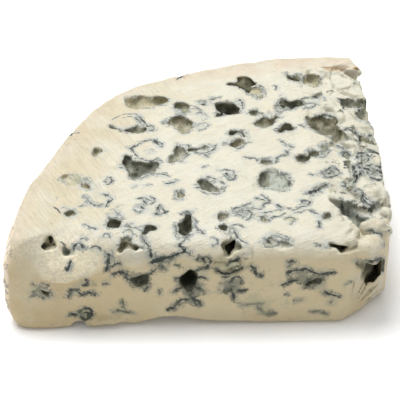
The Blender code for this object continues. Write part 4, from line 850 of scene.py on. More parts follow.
# the height of the top and the set-back of the front, before the cavities
inside = skin < 0
k = len(ZS) - 1 - np.argmax(inside[:, :, ::-1], axis=2)
k = np.clip(k, 0, len(ZS) - 2)
a, b = np.take_along_axis(skin, k[:, :, None], 2)[:, :, 0], np.take_along_axis(skin, k[:, :, None] + 1, 2)[:, :, 0]
TOP_SKIN = np.where(inside.any(2), ZS[k] + STEP_Z * np.clip(a / (a - b - 1e-9), 0, 1), -HEIGHT)
k = np.clip(np.argmax(inside, axis=1), 1, len(YS) - 1)
a, b = np.take_along_axis(skin, k[:, None, :] - 1, 1)[:, 0, :], np.take_along_axis(skin, k[:, None, :], 1)[:, 0, :]
FRONT_SKIN = np.where(inside.any(1), YS[k] - STEP_XY * np.clip(b / (b - a - 1e-9), 0, 1), 0.0)
del inside


def flat_at(field, x, y, y0, ystep):
    """Reads a flat field of the grid at points, bilinear."""
    u = np.clip((x - XS[0]) / STEP_XY, 0, field.shape[0] - 1.001)
    v = np.clip((y - y0) / ystep, 0, field.shape[1] - 1.001)
    i, j = u.astype(int), v.astype(int)
    f, g = u - i, v - j
    return ((field[i, j] * (1 - f) + field[i + 1, j] * f) * (1 - g)
            + (field[i, j + 1] * (1 - f) + field[i + 1, j + 1] * f) * g)


def onto_top(points):
    """Moves table positions near the front from the plane of the top onto the skin."""
    p = np.asarray(points, float)
    q = p.copy()
    for _ in range(4):
        z = np.clip(flat_at(TOP_SKIN, q[:, 0], q[:, 1], YS[0], STEP_XY), -6, 1) * step(16, 11, q[:, 1])
        t = (VIEW[2] - z) / VIEW[2]
        q = VIEW[:2] + (p - VIEW[:2]) * t[:, None]
    return q


def onto_front(points):
    p = np.asarray(points, float)
    q = p.copy()
    for _ in range(4):
        y = np.clip(flat_at(FRONT_SKIN, q[:, 0], q[:, 1], ZS[0], STEP_Z), -2, 8)
        t = (y - VIEW[1]) / -VIEW[1]
        q = VIEW[[0, 2]] + (p - VIEW[[0, 2]]) * t[:, None]
    return q


def top_to_front(p):
    """Where the line of sight through a place on the top's plane meets the front's."""
    t = -VIEW[1] / (p[:, 1] - VIEW[1])
    return np.column_stack([VIEW[0] + (p[:, 0] - VIEW[0]) * t, VIEW[2] * (1 - t)])


def front_to_top(p):
    t = VIEW[2] / (VIEW[2] - p[:, 1])
    return np.column_stack([VIEW[0] + (p[:, 0] - VIEW[0]) * t, VIEW[1] * (1 - t)])


# ---- cavities ---------------------------------------------------------------
olive = np.zeros(body.shape, np.float32)
gloom = np.zeros(body.shape, np.float32)
rim = np.full(X2.shape, 9.0)
rim_front = np.full((len(XS), len(ZS)), 9.0)


def carve(s, hollow, soften, tint, dark):
    body[s] = smax(body[s], -hollow, soften)
    w = np.clip(1.0 - hollow / 1.2, 0, 1)
    olive[s] = olive[s] * (1 - w) + tint * w
    gloom[s] = gloom[s] * (1 - w) + dark * w


for depth, under, tint, dark, points in TOP_HOLES:
    if np.mean([q for _, q in points]) < 6.5:
        # on the shoulder: the cavity runs in from the surface, not straight down
        loop = curve(points, True)
        (x0, y0), (x1, y1) = loop.min(0), loop.max(0)
        s = block(x0 - 3, x1 + 3, -3.2, y1 + depth * 1.3 + 4, -depth * 1.3 - 9, 3)
        t = VIEW[2] / (VIEW[2] - Z3[:, :, s[2]])
        u = VIEW[0] + (XS[s[0]][:, None, None] - VIEW[0]) * t + 0 * YS[s[1]][None, :, None]
        v = VIEW[1] + (YS[s[1]][None, :, None] - VIEW[1]) * t + 0 * XS[s[0]][:, None, None]
        flat, _ = loop_distance(u, v, loop)
        deep = -skin[s]
        wall = flat * 0.75 + 0.26 * np.clip(deep, 0, depth) - 0.2 + 0.62 * knobbly[s]
        carve(s, smax(wall, deep - depth + 0.45 * knobbly[s], max(0.8, depth * 0.6)).astype(np.float32), 0.35, tint, dark)
        plane, _ = loop_distance(X2[s[:2]], Y2[s[:2]], curve(onto_top(points), True))
        rim[s[:2]] = np.minimum(rim[s[:2]], plane)
        continue
    loop = curve(onto_top(points), True)
    (x0, y0), (x1, y1) = loop.min(0), loop.max(0)
    s = block(x0 - 3, x1 + 3, y0 - 3, y1 + 3, -depth - 3, 3)
    flat, _ = loop_distance(X2[s[:2]], Y2[s[:2]], loop)
    rim[s[:2]] = np.minimum(rim[s[:2]], flat)
    back = np.clip(np.gradient(flat, YS[s[1]], axis=1), 0, 1) ** 2
    surface = TOP_SKIN[s[:2]][:, :, None]
    surface = np.where(flat[:, :, None] < 1.5, np.maximum(surface, -5.0), 0.0)
    t = np.clip((surface - Z3[:, :, s[2]]) / depth, 0, 1)
    wall = flat[:, :, None] - under * np.sin(np.pi * t ** 0.8) + 0.62 * knobbly[s] * step(-0.9, 0.5, t)
    floor = surface - Z3[:, :, s[2]] - depth + 0.45 * knobbly[s]
    hollow = smax(wall, floor, max(0.8, depth * 0.8))
    carve(s, hollow, (0.30 + 1.1 * back * min(1.0, depth / 3))[:, :, None], tint, dark)

for depth, under, tint, dark, points in FRONT_HOLES:
    loop = curve(onto_front(points), True)
    (x0, z0), (x1, z1) = loop.min(0), loop.max(0)
    set_back = float(flat_at(FRONT_SKIN, *loop.mean(0)[:, None], ZS[0], STEP_Z)[0])
    s = block(x0 - 3, x1 + 3, -3.2, set_back + depth + 3, z0 - 3, z1 + 3)
    gx, gz = np.meshgrid(XS[s[0]], ZS[s[2]], indexing="ij")
    flat, _ = loop_distance(gx, gz, loop)
    rim_front[s[0], s[2]] = np.minimum(rim_front[s[0], s[2]], flat)
    y = YS[s[1]][None, :, None] - set_back
    t = np.clip(y / depth, 0, 1)
    wall = flat[:, None, :] - under * np.sin(np.pi * t ** 0.8) + 0.5 * knobbly[s]
    hollow = smax(wall, y - depth + 0.2 * knobbly[s], max(0.8, depth * 0.7))
    carve(s, hollow, 0.35, tint, dark)

for y, z, length, height, turn, depth in RIGHT_HOLES:
    rng = np.random.default_rng(int(y * 10))
    a = np.linspace(0, math.tau, 9)[:-1]
    r = 1 + 0.22 * rng.standard_normal(8)
    u, v = np.cos(a) * r * length / 2, np.sin(a) * r * height / 2
    c, q = math.cos(math.radians(turn)), math.sin(math.radians(turn))
    loop = curve(np.column_stack([y + u * c - v * q, z + u * q + v * c]), True)
    (y0, z0), (y1, z1) = loop.min(0), loop.max(0)
    s = block(-depth - 2, 5, y0 - 3, y1 + 3, z0 - 3, z1 + 3)
    gy, gz = np.meshgrid(YS[s[1]], ZS[s[2]], indexing="ij")
    flat, _ = loop_distance(gy, gz, loop)
    inward = right_face(YS[s[1]])[None, :, None] - XS[s[0]][:, None, None]
    t = np.clip(inward / depth, 0, 1)
    wall = flat[None, :, :] - 0.4 * np.sin(np.pi * t ** 0.8) + 0.5 * knobbly[s]
    hollow = smax(wall, inward - depth + 0.2 * knobbly[s], max(0.8, depth * 0.7))
    carve(s, hollow, 0.4, 0.5, 0.5)

# the hollow under the top curds, laid open where the tip broke off
for depth, tint, dark, points in SIGHT_HOLES:
    loop = curve(points, True)
    (x0, z0), (x1, z1) = loop.min(0), loop.max(0)
    s = block(x0 - 3, x1 + 6, -3.2, 22, z0 * 1.5 - 4, z1 * 0.6 + 3)
    t = -VIEW[1] / (YS[s[1]][None, :, None] - VIEW[1])
    u = VIEW[0] + (XS[s[0]][:, None, None] - VIEW[0]) * t + 0 * ZS[s[2]][None, None, :]
    v = VIEW[2] + (ZS[s[2]][None, None, :] - VIEW[2]) * t + 0 * XS[s[0]][:, None, None]
    flat, _ = loop_distance(u, v, loop)
    wall = XS[s[0]][:, None, None] - right_face(YS[s[1]])[None, :, None] + 2.4
    hollow = smax(smax(flat * 0.95 + 0.5 * knobbly[s], -skin[s] - depth + 0.6 * knobbly[s], 1.2), wall + 0.3 * knobbly[s], 0.8)
    carve(s, hollow.astype(np.float32), 0.3, tint, dark)

# ---- the surface -------------------------------------------------------------
grid = openvdb.FloatGrid(3.0)
grid.copyFromArray(np.ascontiguousarray(body, np.float32))
points, tris, quads = grid.convertToPolygons(0.0, 0.0)
points = points * (STEP_XY, STEP_XY, STEP_Z) + (XS[0], YS[0], ZS[0])


def mesh_from(points, tris, quads, name):
    mesh = bpy.data.meshes.new(name)
    loops = np.concatenate([tris.ravel(), quads.ravel()]).astype(np.int32)
    sizes = np.concatenate([np.full(len(tris), 3), np.full(len(quads), 4)]).astype(np.int32)
    mesh.vertices.add(len(points))
    mesh.vertices.foreach_set("co", points.astype(np.float32).ravel())
    mesh.loops.add(len(loops))
    mesh.loops.foreach_set("vertex_index", loops)
    mesh.polygons.add(len(sizes))
    mesh.polygons.foreach_set("loop_start", np.concatenate([[0], np.cumsum(sizes)[:-1]]).astype(np.int32))
    mesh.polygons.foreach_set("loop_total", sizes)
    mesh.update(calc_edges=True)
    mesh.validate()
    return mesh


mesh = mesh_from(points, tris, quads[:, ::-1] if len(quads) else quads, "cheese_paste_body")
piece = bpy.data.objects.new("cheese_paste_body", mesh)
bpy.context.scene.collection.objects.link(piece)


def coordinates(mesh):
    p = np.empty(len(mesh.vertices) * 3, np.float32)
    mesh.vertices.foreach_get("co", p)
    return p.reshape(-1, 3).astype(float)


def sample(field, p):
    """Reads a grid field at points, trilinear."""
    u = np.column_stack([(p[:, 0] - XS[0]) / STEP_XY, (p[:, 1] - YS[0]) / STEP_XY, (p[:, 2] - ZS[0]) / STEP_Z])
    u = np.clip(u, 0, np.array(field.shape) - 1.001)
    i = u.astype(int)
    f = u - i
    out = 0.0
    for a in (0, 1):
        for b in (0, 1):
            for c in (0, 1):
                w = (f[:, 0] if a else 1 - f[:, 0]) * (f[:, 1] if b else 1 - f[:, 1]) * (f[:, 2] if c else 1 - f[:, 2])
                out = out + w * field[i[:, 0] + a, i[:, 1] + b, i[:, 2] + c]
    return out


def spread(table, to_own, to_other):
    """Strokes as smooth courses on both planes: strength, width, top, front."""
    out = []
    for strength, width, points in table:
        line = curve(points, False, 5)
        out.append((strength, width, line if to_own else front_to_top(line), top_to_front(line) if to_own else line))
    return out


STROKES = spread(TOP_VEINS, True, False) + spread(FRONT_VEINS, False, True)


def seen(p):
    """Each vertex's place on the planes of the top and of the front cut."""
    z = np.minimum(flat_at(TOP_SKIN, p[:, 0], p[:, 1], YS[0], STEP_XY), 2.0)
    t = VIEW[2] / (VIEW[2] - z)
    on_top = np.column_stack([VIEW[0] + (p[:, 0] - VIEW[0]) * t, VIEW[1] + (p[:, 1] - VIEW[1]) * t])
    y = flat_at(FRONT_SKIN, p[:, 0], p[:, 2], ZS[0], STEP_Z)
    t = -VIEW[1] / (y - VIEW[1])
    on_front = np.column_stack([VIEW[0] + (p[:, 0] - VIEW[0]) * t, VIEW[2] + (p[:, 2] - VIEW[2]) * t])
    return on_top, on_front


def to_line(u, v, line):
    """Distance to a course, its side, and how far along."""
    best = np.full(len(u), 1e9)
    signed, along = np.zeros(len(u)), np.zeros(len(u))
    for k, (a, b) in enumerate(zip(line, line[1:])):
        e = b - a
        length = max(1e-9, math.hypot(*e))
        px, py = u - a[0], v - a[1]
        t = np.clip((px * e[0] + py * e[1]) / length ** 2, 0, 1)
        d = np.hypot(px - t * e[0], py - t * e[1])
        new = d < best - 1e-9
        best = np.where(new, d, best)
        signed = np.where(new, np.where(e[0] * py - e[1] * px >= 0, d, -d), signed)
        along = np.where(new, (k + t) / (len(line) - 1), along)
    return best, signed, along


# Fewer triangles where it is flat and there is no vein.
p = coordinates(mesh)
on_top, on_front = seen(p)
facing_front = flat_at(TOP_SKIN, p[:, 0], p[:, 1], YS[0], STEP_XY) - p[:, 2] > p[:, 1]
keep = np.zeros(len(p), bool)
for _, _, upper, face in STROKES:
    for q, line, where in ((on_top, upper, ~facing_front), (on_front, face, facing_front)):
        lo, hi = line.min(0) - 0.7, line.max(0) + 0.7
        near = np.nonzero(where & (q[:, 0] > lo[0]) & (q[:, 0] < hi[0]) & (q[:, 1] > lo[1]) & (q[:, 1] < hi[1]))[0]
        if len(near):
            keep[near[to_line(q[near, 0], q[near, 1], line)[0] < 0.7]] = True
keep &= p[:, 2] > -HEIGHT + 0.8
# and a loose net of vertices everywhere that shows, so that patches of mould keep their shape
n = np.empty(len(p) * 3, np.float32)
mesh.vertices.foreach_get("normal", n)
n = np.abs(n.reshape(-1, 3))
i, j, k = (np.rint((p[:, a] - start) / step_).astype(int) for a, start, step_ in ((0, XS[0], STEP_XY), (1, YS[0], STEP_XY), (2, ZS[0], STEP_Z)))
flat_up, flat_y = n[:, 2] > 0.7, n[:, 1] > 0.6
net = np.where(flat_up, (i % 3 == 0) & (j % 3 == 0), np.where(flat_y, (i % 3 == 0) & (k % 3 == 0), (j % 4 == 0) & (k % 4 == 0)))
keep |= net & (p[:, 2] > -HEIGHT + 0.8)
group = piece.vertex_groups.new(name="thin")
group.add(np.nonzero(~keep)[0].tolist(), 1.0, "REPLACE")
now = sum(len(q.vertices) - 2 for q in mesh.polygons)
thin = piece.modifiers.new("thin", "DECIMATE")
thin.decimate_type, thin.vertex_group = "COLLAPSE", "thin"
thin.ratio = min(1.0, MOST_TRIANGLES / now)
graph = bpy.context.evaluated_depsgraph_get()
new = bpy.data.meshes.new_from_object(piece.evaluated_get(graph), depsgraph=graph)
piece.modifiers.clear()
piece.vertex_groups.clear()
piece.data = new
bpy.data.meshes.remove(mesh)
mesh = new
mesh.name = "cheese_paste_body"

# ---- fields at the vertices ---------------------------------------------------
P = coordinates(mesh)
N = np.empty(len(mesh.vertices) * 3, np.float32)
mesh.vertices.foreach_get("normal", N)
N = N.reshape(-1, 3)
x, y, z = P.T
count = len(P)
share = flat_at(RIND, x, y, YS[0], STEP_XY)
plan = flat_at(PLAN, x, y, YS[0], STEP_XY)
top = flat_at(TOP, x, y, YS[0], STEP_XY)
depth_in = np.maximum(0.0, -sample(skin, P))
below = top - z
into_right = right_face(y) - x
on_front = step(-0.45, 0.45, below - y)
on_front *= (1 - step(0.7, 0.92, N[:, 0]) * step(-5, -2, x)) * (1 - step(7, 10, y) * step(-4, -2, x))
on_right = step(-0.6, 0.6, below - into_right) * (1 - on_front)
on_rind = step(-0.3, 0.9, below - np.maximum(0, -plan) * 1.0 - 0.6) * step(0.45, 0.55, share) * (1 - step(0.2, 0.6, on_front) * 0)
on_rind *= step(2.5, 1.0, -plan)
# how much of the darker, warmer cut colour each vertex gets: partly the cut's own waxier tone, partly painted shade
front_tone_and_shade = np.clip(below / np.interp(x, XS, LEAN_DEPTH), 0, 1.3) * step(16, 9, y - 0.6 * below)
flap = step(-99, -96, x) * step(-79, -84, x)
front_tone_and_shade = step(0.10 + 0.86 * flap, 1.15 - 0.12 * flap, front_tone_and_shade) * step(-1.2, 1.2, into_right - y + 6)
front_tone_and_shade = np.maximum(front_tone_and_shade, 0.08 * flap * step(0.5, 3.5, below) * step(12, 8, y))
right_tone_and_shade = step(0.5, 5.5, below) * on_right
on_front *= 1 - on_rind
on_top = np.clip(1 - on_front - on_right - on_rind, 0, 1)
olive_at = np.clip(sample(olive, P), 0, 1)
gloom_at = np.clip(sample(gloom, P), 0, 1)
rim_at = np.where(on_front > 0.5, flat_at(rim_front, x, z, ZS[0], STEP_Z), flat_at(rim, x, y, YS[0], STEP_XY) + 9 * step(8, 9.5, below) + 9 * on_right * step(2, 3.5, below))

# how hollow the surface is around each vertex, smoothed over a millimetre or so
ends = np.empty(len(mesh.edges) * 2, np.int32)
mesh.edges.foreach_get("vertices", ends)
ends = ends.reshape(-1, 2)
reach = P[ends[:, 1]] - P[ends[:, 0]]
length = np.maximum(np.linalg.norm(reach, axis=1), 1e-6)
shared = np.bincount(ends.ravel(), minlength=count)
low = (np.bincount(ends[:, 0], (N[ends[:, 0]] * reach).sum(1) / length, count)
       - np.bincount(ends[:, 1], (N[ends[:, 1]] * reach).sum(1) / length, count)) / shared
for _ in range(5):
    low = (low + (np.bincount(ends[:, 0], low[ends[:, 1]], count) + np.bincount(ends[:, 1], low[ends[:, 0]], count)) / shared) / 2
low *= 1 - 0.7 * np.exp(-((x + 4) ** 2 + (y - 7) ** 2) / 50) * step(9, 6, below)

# distance from the rind, for the yellowing
arc = LOOP[SHARE > 0.5]
from_rind = np.full(count, 1e9)
for a in arc[::3]:
    from_rind = np.minimum(from_rind, (x - a[0]) ** 2 + (y - a[1]) ** 2)
from_rind = np.sqrt(from_rind)


def patches(table, q, on, into):
    for cx, cy, w, h, amount, kind in table:
        near = np.nonzero((np.abs(q[:, 0] - cx) < w) & (np.abs(q[:, 1] - cy) < h) & (on > 0.3))[0]
        e = np.sqrt(((q[near, 0] - cx) / (w * 0.62)) ** 2 + ((q[near, 1] - cy) / (h * 0.62)) ** 2)
        into[kind][near] = np.maximum(into[kind][near], amount * step(1.0, 0.35, e))


CHANNELS = 4
channels = [np.zeros((count, 3)) for _ in range(CHANNELS)]
for c in channels:
    c[:, 0] = 2.0
taken = [np.full(count, 9.0) for _ in range(CHANNELS)]
vicinity = np.where(rim_at < 4, np.maximum(rim_at, 0), 9.0)


def draw(strength, width, q, line, on):
    """Writes a stroke's signed distance, strength and width in the channel that is
    freest around it, so that strokes near each other don't disturb one another."""
    lo, hi = line.min(0) - 3.2, line.max(0) + 3.2
    near = np.nonzero((q[:, 0] > lo[0]) & (q[:, 0] < hi[0]) & (q[:, 1] > lo[1]) & (q[:, 1] < hi[1]) & (on > 0.3))[0]
    if not len(near):
        return
    best, signed, along = to_line(q[near, 0], q[near, 1], line)
    vicinity[near] = np.minimum(vicinity[near], best + 0.9 * (1 - strength))
    close = best < 1.25
    if not close.any():
        return
    idx = near[close]
    c = int(np.argmin([np.sum(t[idx] < 9) for t in taken]))
    win = best[close] < taken[c][idx]
    idx = idx[win]
    d, along = best[close][win], along[close][win]
    taken[c][idx] = d
    channels[c][idx, 0] = signed[close][win]
    channels[c][idx, 1] = strength * (0.75 + 0.25 * np.sin(np.pi * along)) * np.clip(1.25 - d, 0, 1)
    channels[c][idx, 2] = width


on_top_plane, on_front_plane = seen(P)
upper_side = np.clip(on_top + on_right * (below < 2), 0, 1)
for strength, width, upper, face in STROKES:
    draw(strength, width, on_top_plane, upper, upper_side * (y < 20) + upper_side * (y >= 20))
    if face[:, 1].min() > -40:
        draw(strength, width, on_front_plane, face, on_front)

# veins of the right cut and a few on the rind, from a seed
rng = np.random.default_rng(21)
walks = []
for _ in range(34):
    at = np.array([rng.uniform(14, 98), rng.uniform(-24, -3)])
    way = rng.uniform(0, math.tau)
    run = [at]
    for _ in range(rng.integers(2, 6)):
        way += rng.normal(0, 0.9)
        at = at + np.array([math.cos(way), 0.7 * math.sin(way)]) * rng.uniform(0.8, 2.2)
        run.append(at)
    walks.append((rng.uniform(0.4, 0.85), rng.uniform(0.25, 0.5), tuple(map(tuple, run))))
right_plane = np.column_stack([y, z])
for strength, width, run in walks:
    draw(strength, width, right_plane, curve(run, False, 5), on_right)

halo, blue, green, warm = (np.zeros(count) for _ in range(4))
kinds = (halo, blue, green, warm)
patches([row for row in TOP_PATCHES if row[5] != 3], on_top_plane, upper_side, kinds)
patches([row for row in TOP_PATCHES if row[5] == 3], on_top_plane, step(6, 3, below), kinds)
patches(FRONT_PATCHES, on_front_plane, on_front, kinds)
both = front_to_top(np.array([(a, b) for a, b, *_ in FRONT_PATCHES]))
patches([(a, b, w, h * 1.3, m, k) for (a, b), (_, _, w, h, m, k) in zip(both, FRONT_PATCHES)], on_top_plane, on_top * (y < 12), kinds)
side_patches = [(rng.uniform(14, 98), rng.uniform(-24, -4), rng.uniform(4, 9), rng.uniform(3, 6), rng.uniform(0.4, 0.8), int(rng.integers(0, 3)))
                for _ in range(18)]
patches(side_patches, right_plane, on_right, kinds)
crack = np.clip(flat_at(CRACK, x, y, YS[0], STEP_XY) + 4 * step(1.6, 2.6, below), 0, 4)
crumble = step(-18, -9, x) * step(94, 84, y) * step(13, 19, y) * np.clip(on_top + on_right * step(9, 3, below), 0, 1)
crumble *= 1 - 0.9 * np.exp(-((x + 2.8) ** 2 + (y - 27.3) ** 2) / 14)

yellow = 0.95 * step(48, 0, from_rind) * step(-35, -92, x) + 0.45 * step(5, 0, from_rind)
yellow = np.clip(yellow + 0.55 * np.exp(-((x + 5.8) ** 2 + (y - 4.5) ** 2) / 16) + 0.4 * np.exp(-((x + 3.6) ** 2 + (y - 11) ** 2) / 12), 0, 1)

bevel = step(-78, -86, x) * step(0.3, 2.0, below) * step(14, 9, y) * (1 - front_tone_and_shade)
yellow *= 1 - 0.25 * bevel
vicinity = vicinity + 1.6 * bevel * step(-88, -92, x) + 1.2 * step(18, 9, from_rind) * np.clip(on_top, 0, 1)
# less of the painted shade on the left end of the front
front_tone_and_shade *= 1 - 0.22 * step(-84, -100, x)
# the torn fan at the tip gets less of the cuts' painted shade, so it is as pale as the top
fan = np.hypot(on_front_plane[:, 0] + 10.8, on_front_plane[:, 1] + 24.6)
fan = step(4, 8, fan) * step(17, 13, fan) * step(-13.5, -9.5, on_front_plane[:, 0]) * (below > 4)
front_tone_and_shade *= 1 - 0.45 * fan
# painted light: the bevel above the front ledge is marked to be brightened, as its slope leaves it more shaded
lift = bevel * (0.85 + 0.15 * flap)
speckle = on_rind * step(20, 6, y) * step(-88, -98, x)


def give(name, values):
    kind = "FLOAT" if values.ndim == 1 else "FLOAT_VECTOR"
    a = mesh.attributes.new(name, kind, "POINT")
    a.data.foreach_set("value" if kind == "FLOAT" else "vector", values.astype(np.float32).ravel())


for k, c in enumerate(channels):
    give(f"vein_{k}", c)
give("mould", np.column_stack([halo, blue, green]))
give("cave", np.column_stack([depth_in, olive_at, gloom_at]))
give("place", np.column_stack([front_tone_and_shade, right_tone_and_shade, on_rind]))
give("tone", np.column_stack([yellow, warm, crumble]))
give("relief", np.column_stack([crack, low, N[:, 2]]))
at_back = step(-75, -20, x)
give("rim", step(8 + 5 * at_back, 2 + 5 * at_back, from_rind) * (0.55 + 0.45 * at_back) * np.clip(on_top, 0, 1))
give("speckle", speckle)
give("lift", lift)
give("edge", np.column_stack([np.clip(rim_at, -3, 3), np.clip(vicinity, 0, 4), below]))

# to metres, in the frame of the CAD
P += np.array(ORIGIN)
P[:, 2] = np.maximum(P[:, 2], LOW.z / MM)
mesh.vertices.foreach_set("co", (P * MM).astype(np.float32).ravel())
mesh.update()
mesh.polygons.foreach_set("use_smooth", np.ones(len(mesh.polygons), bool))
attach(piece, "root")
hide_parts("cheese_wedge")


# ---- the materials -------------------------------------------------------------
class Graph:
    """Short names for the shader nodes used here."""

    def __init__(self, material):
        material.use_nodes = True
        self.tree = material.node_tree
        self.shader = self.tree.nodes["Principled BSDF"]
        self.coords = self.tree.nodes.new("ShaderNodeTexCoord").outputs["Object"]

    def put(self, socket, value):
        if isinstance(value, bpy.types.NodeSocket):
            self.tree.links.new(value, socket)
        elif isinstance(value, (tuple, list)) and len(value) == 3 and socket.type == "RGBA":
            socket.default_value = (*value, 1.0)
        else:
            socket.default_value = value

    def math(self, operation, a, b=0.0, clamp=False):
        n = self.tree.nodes.new("ShaderNodeMath")
        n.operation, n.use_clamp = operation, clamp
        self.put(n.inputs[0], a)
        self.put(n.inputs[1], b)
        return n.outputs[0]

    def add(self, a, b):
        return self.math("ADD", a, b)

    def mul(self, a, b, clamp=False):
        return self.math("MULTIPLY", a, b, clamp)

    def step(self, v, lo, hi, to_lo=0.0, to_hi=1.0):
        n = self.tree.nodes.new("ShaderNodeMapRange")
        n.interpolation_type = "SMOOTHSTEP"
        for name, value in (("Value", v), ("From Min", lo), ("From Max", hi), ("To Min", to_lo), ("To Max", to_hi)):
            self.put(n.inputs[name], value)
        return n.outputs[0]

    def mix(self, factor, a, b, kind="MIX"):
        n = self.tree.nodes.new("ShaderNodeMix")
        n.data_type, n.blend_type = "RGBA", kind
        self.put(n.inputs["Factor"], factor)
        self.put([s for s in n.inputs if s.name == "A" and s.type == "RGBA"][0], a)
        self.put([s for s in n.inputs if s.name == "B" and s.type == "RGBA"][0], b)
        return [s for s in n.outputs if s.type == "RGBA"][0]

    def attribute(self, name):
        n = self.tree.nodes.new("ShaderNodeAttribute")
        n.attribute_name = name
        return n

    def parts(self, name):
        n = self.tree.nodes.new("ShaderNodeSeparateXYZ")
        self.put(n.inputs[0], self.attribute(name).outputs["Vector"])
        return n.outputs[0], n.outputs[1], n.outputs[2]

    def stretched(self, scale=(1, 1, 1), turn=(0, 0, 0), shift=(0, 0, 0)):
        n = self.tree.nodes.new("ShaderNodeMapping")
        self.put(n.inputs["Vector"], self.coords)
        n.inputs["Scale"].default_value = scale
        n.inputs["Rotation"].default_value = tuple(math.radians(a) for a in turn)
        n.inputs["Location"].default_value = shift
        return n.outputs[0]

    def fibres(self, turn):
        n = self.tree.nodes.new("ShaderNodeMapping")
        n.vector_type = "TEXTURE"
        self.put(n.inputs["Vector"], self.coords)
        n.inputs["Rotation"].default_value = (0, 0, math.radians(turn))
        n.inputs["Scale"].default_value = (1, 14, 1)
        return n.outputs[0]

    def noise(self, size_mm, detail=2.0, rough=0.5, bend=0.0, vector=None):
        n = self.tree.nodes.new("ShaderNodeTexNoise")
        self.put(n.inputs["Vector"], vector or self.coords)
        n.inputs["Scale"].default_value = 1000.0 / size_mm
        n.inputs["Detail"].default_value = detail
        n.inputs["Roughness"].default_value = rough
        n.inputs["Distortion"].default_value = bend
        return n.outputs["Factor" if "Factor" in n.outputs else "Fac"]

    def bump(self, height, strength, distance, under=None):
        n = self.tree.nodes.new("ShaderNodeBump")
        self.put(n.inputs["Strength"], strength)
        n.inputs["Distance"].default_value = distance
        self.put(n.inputs["Height"], height)
        if under is not None:
            self.put(n.inputs["Normal"], under)
        return n.outputs[0]


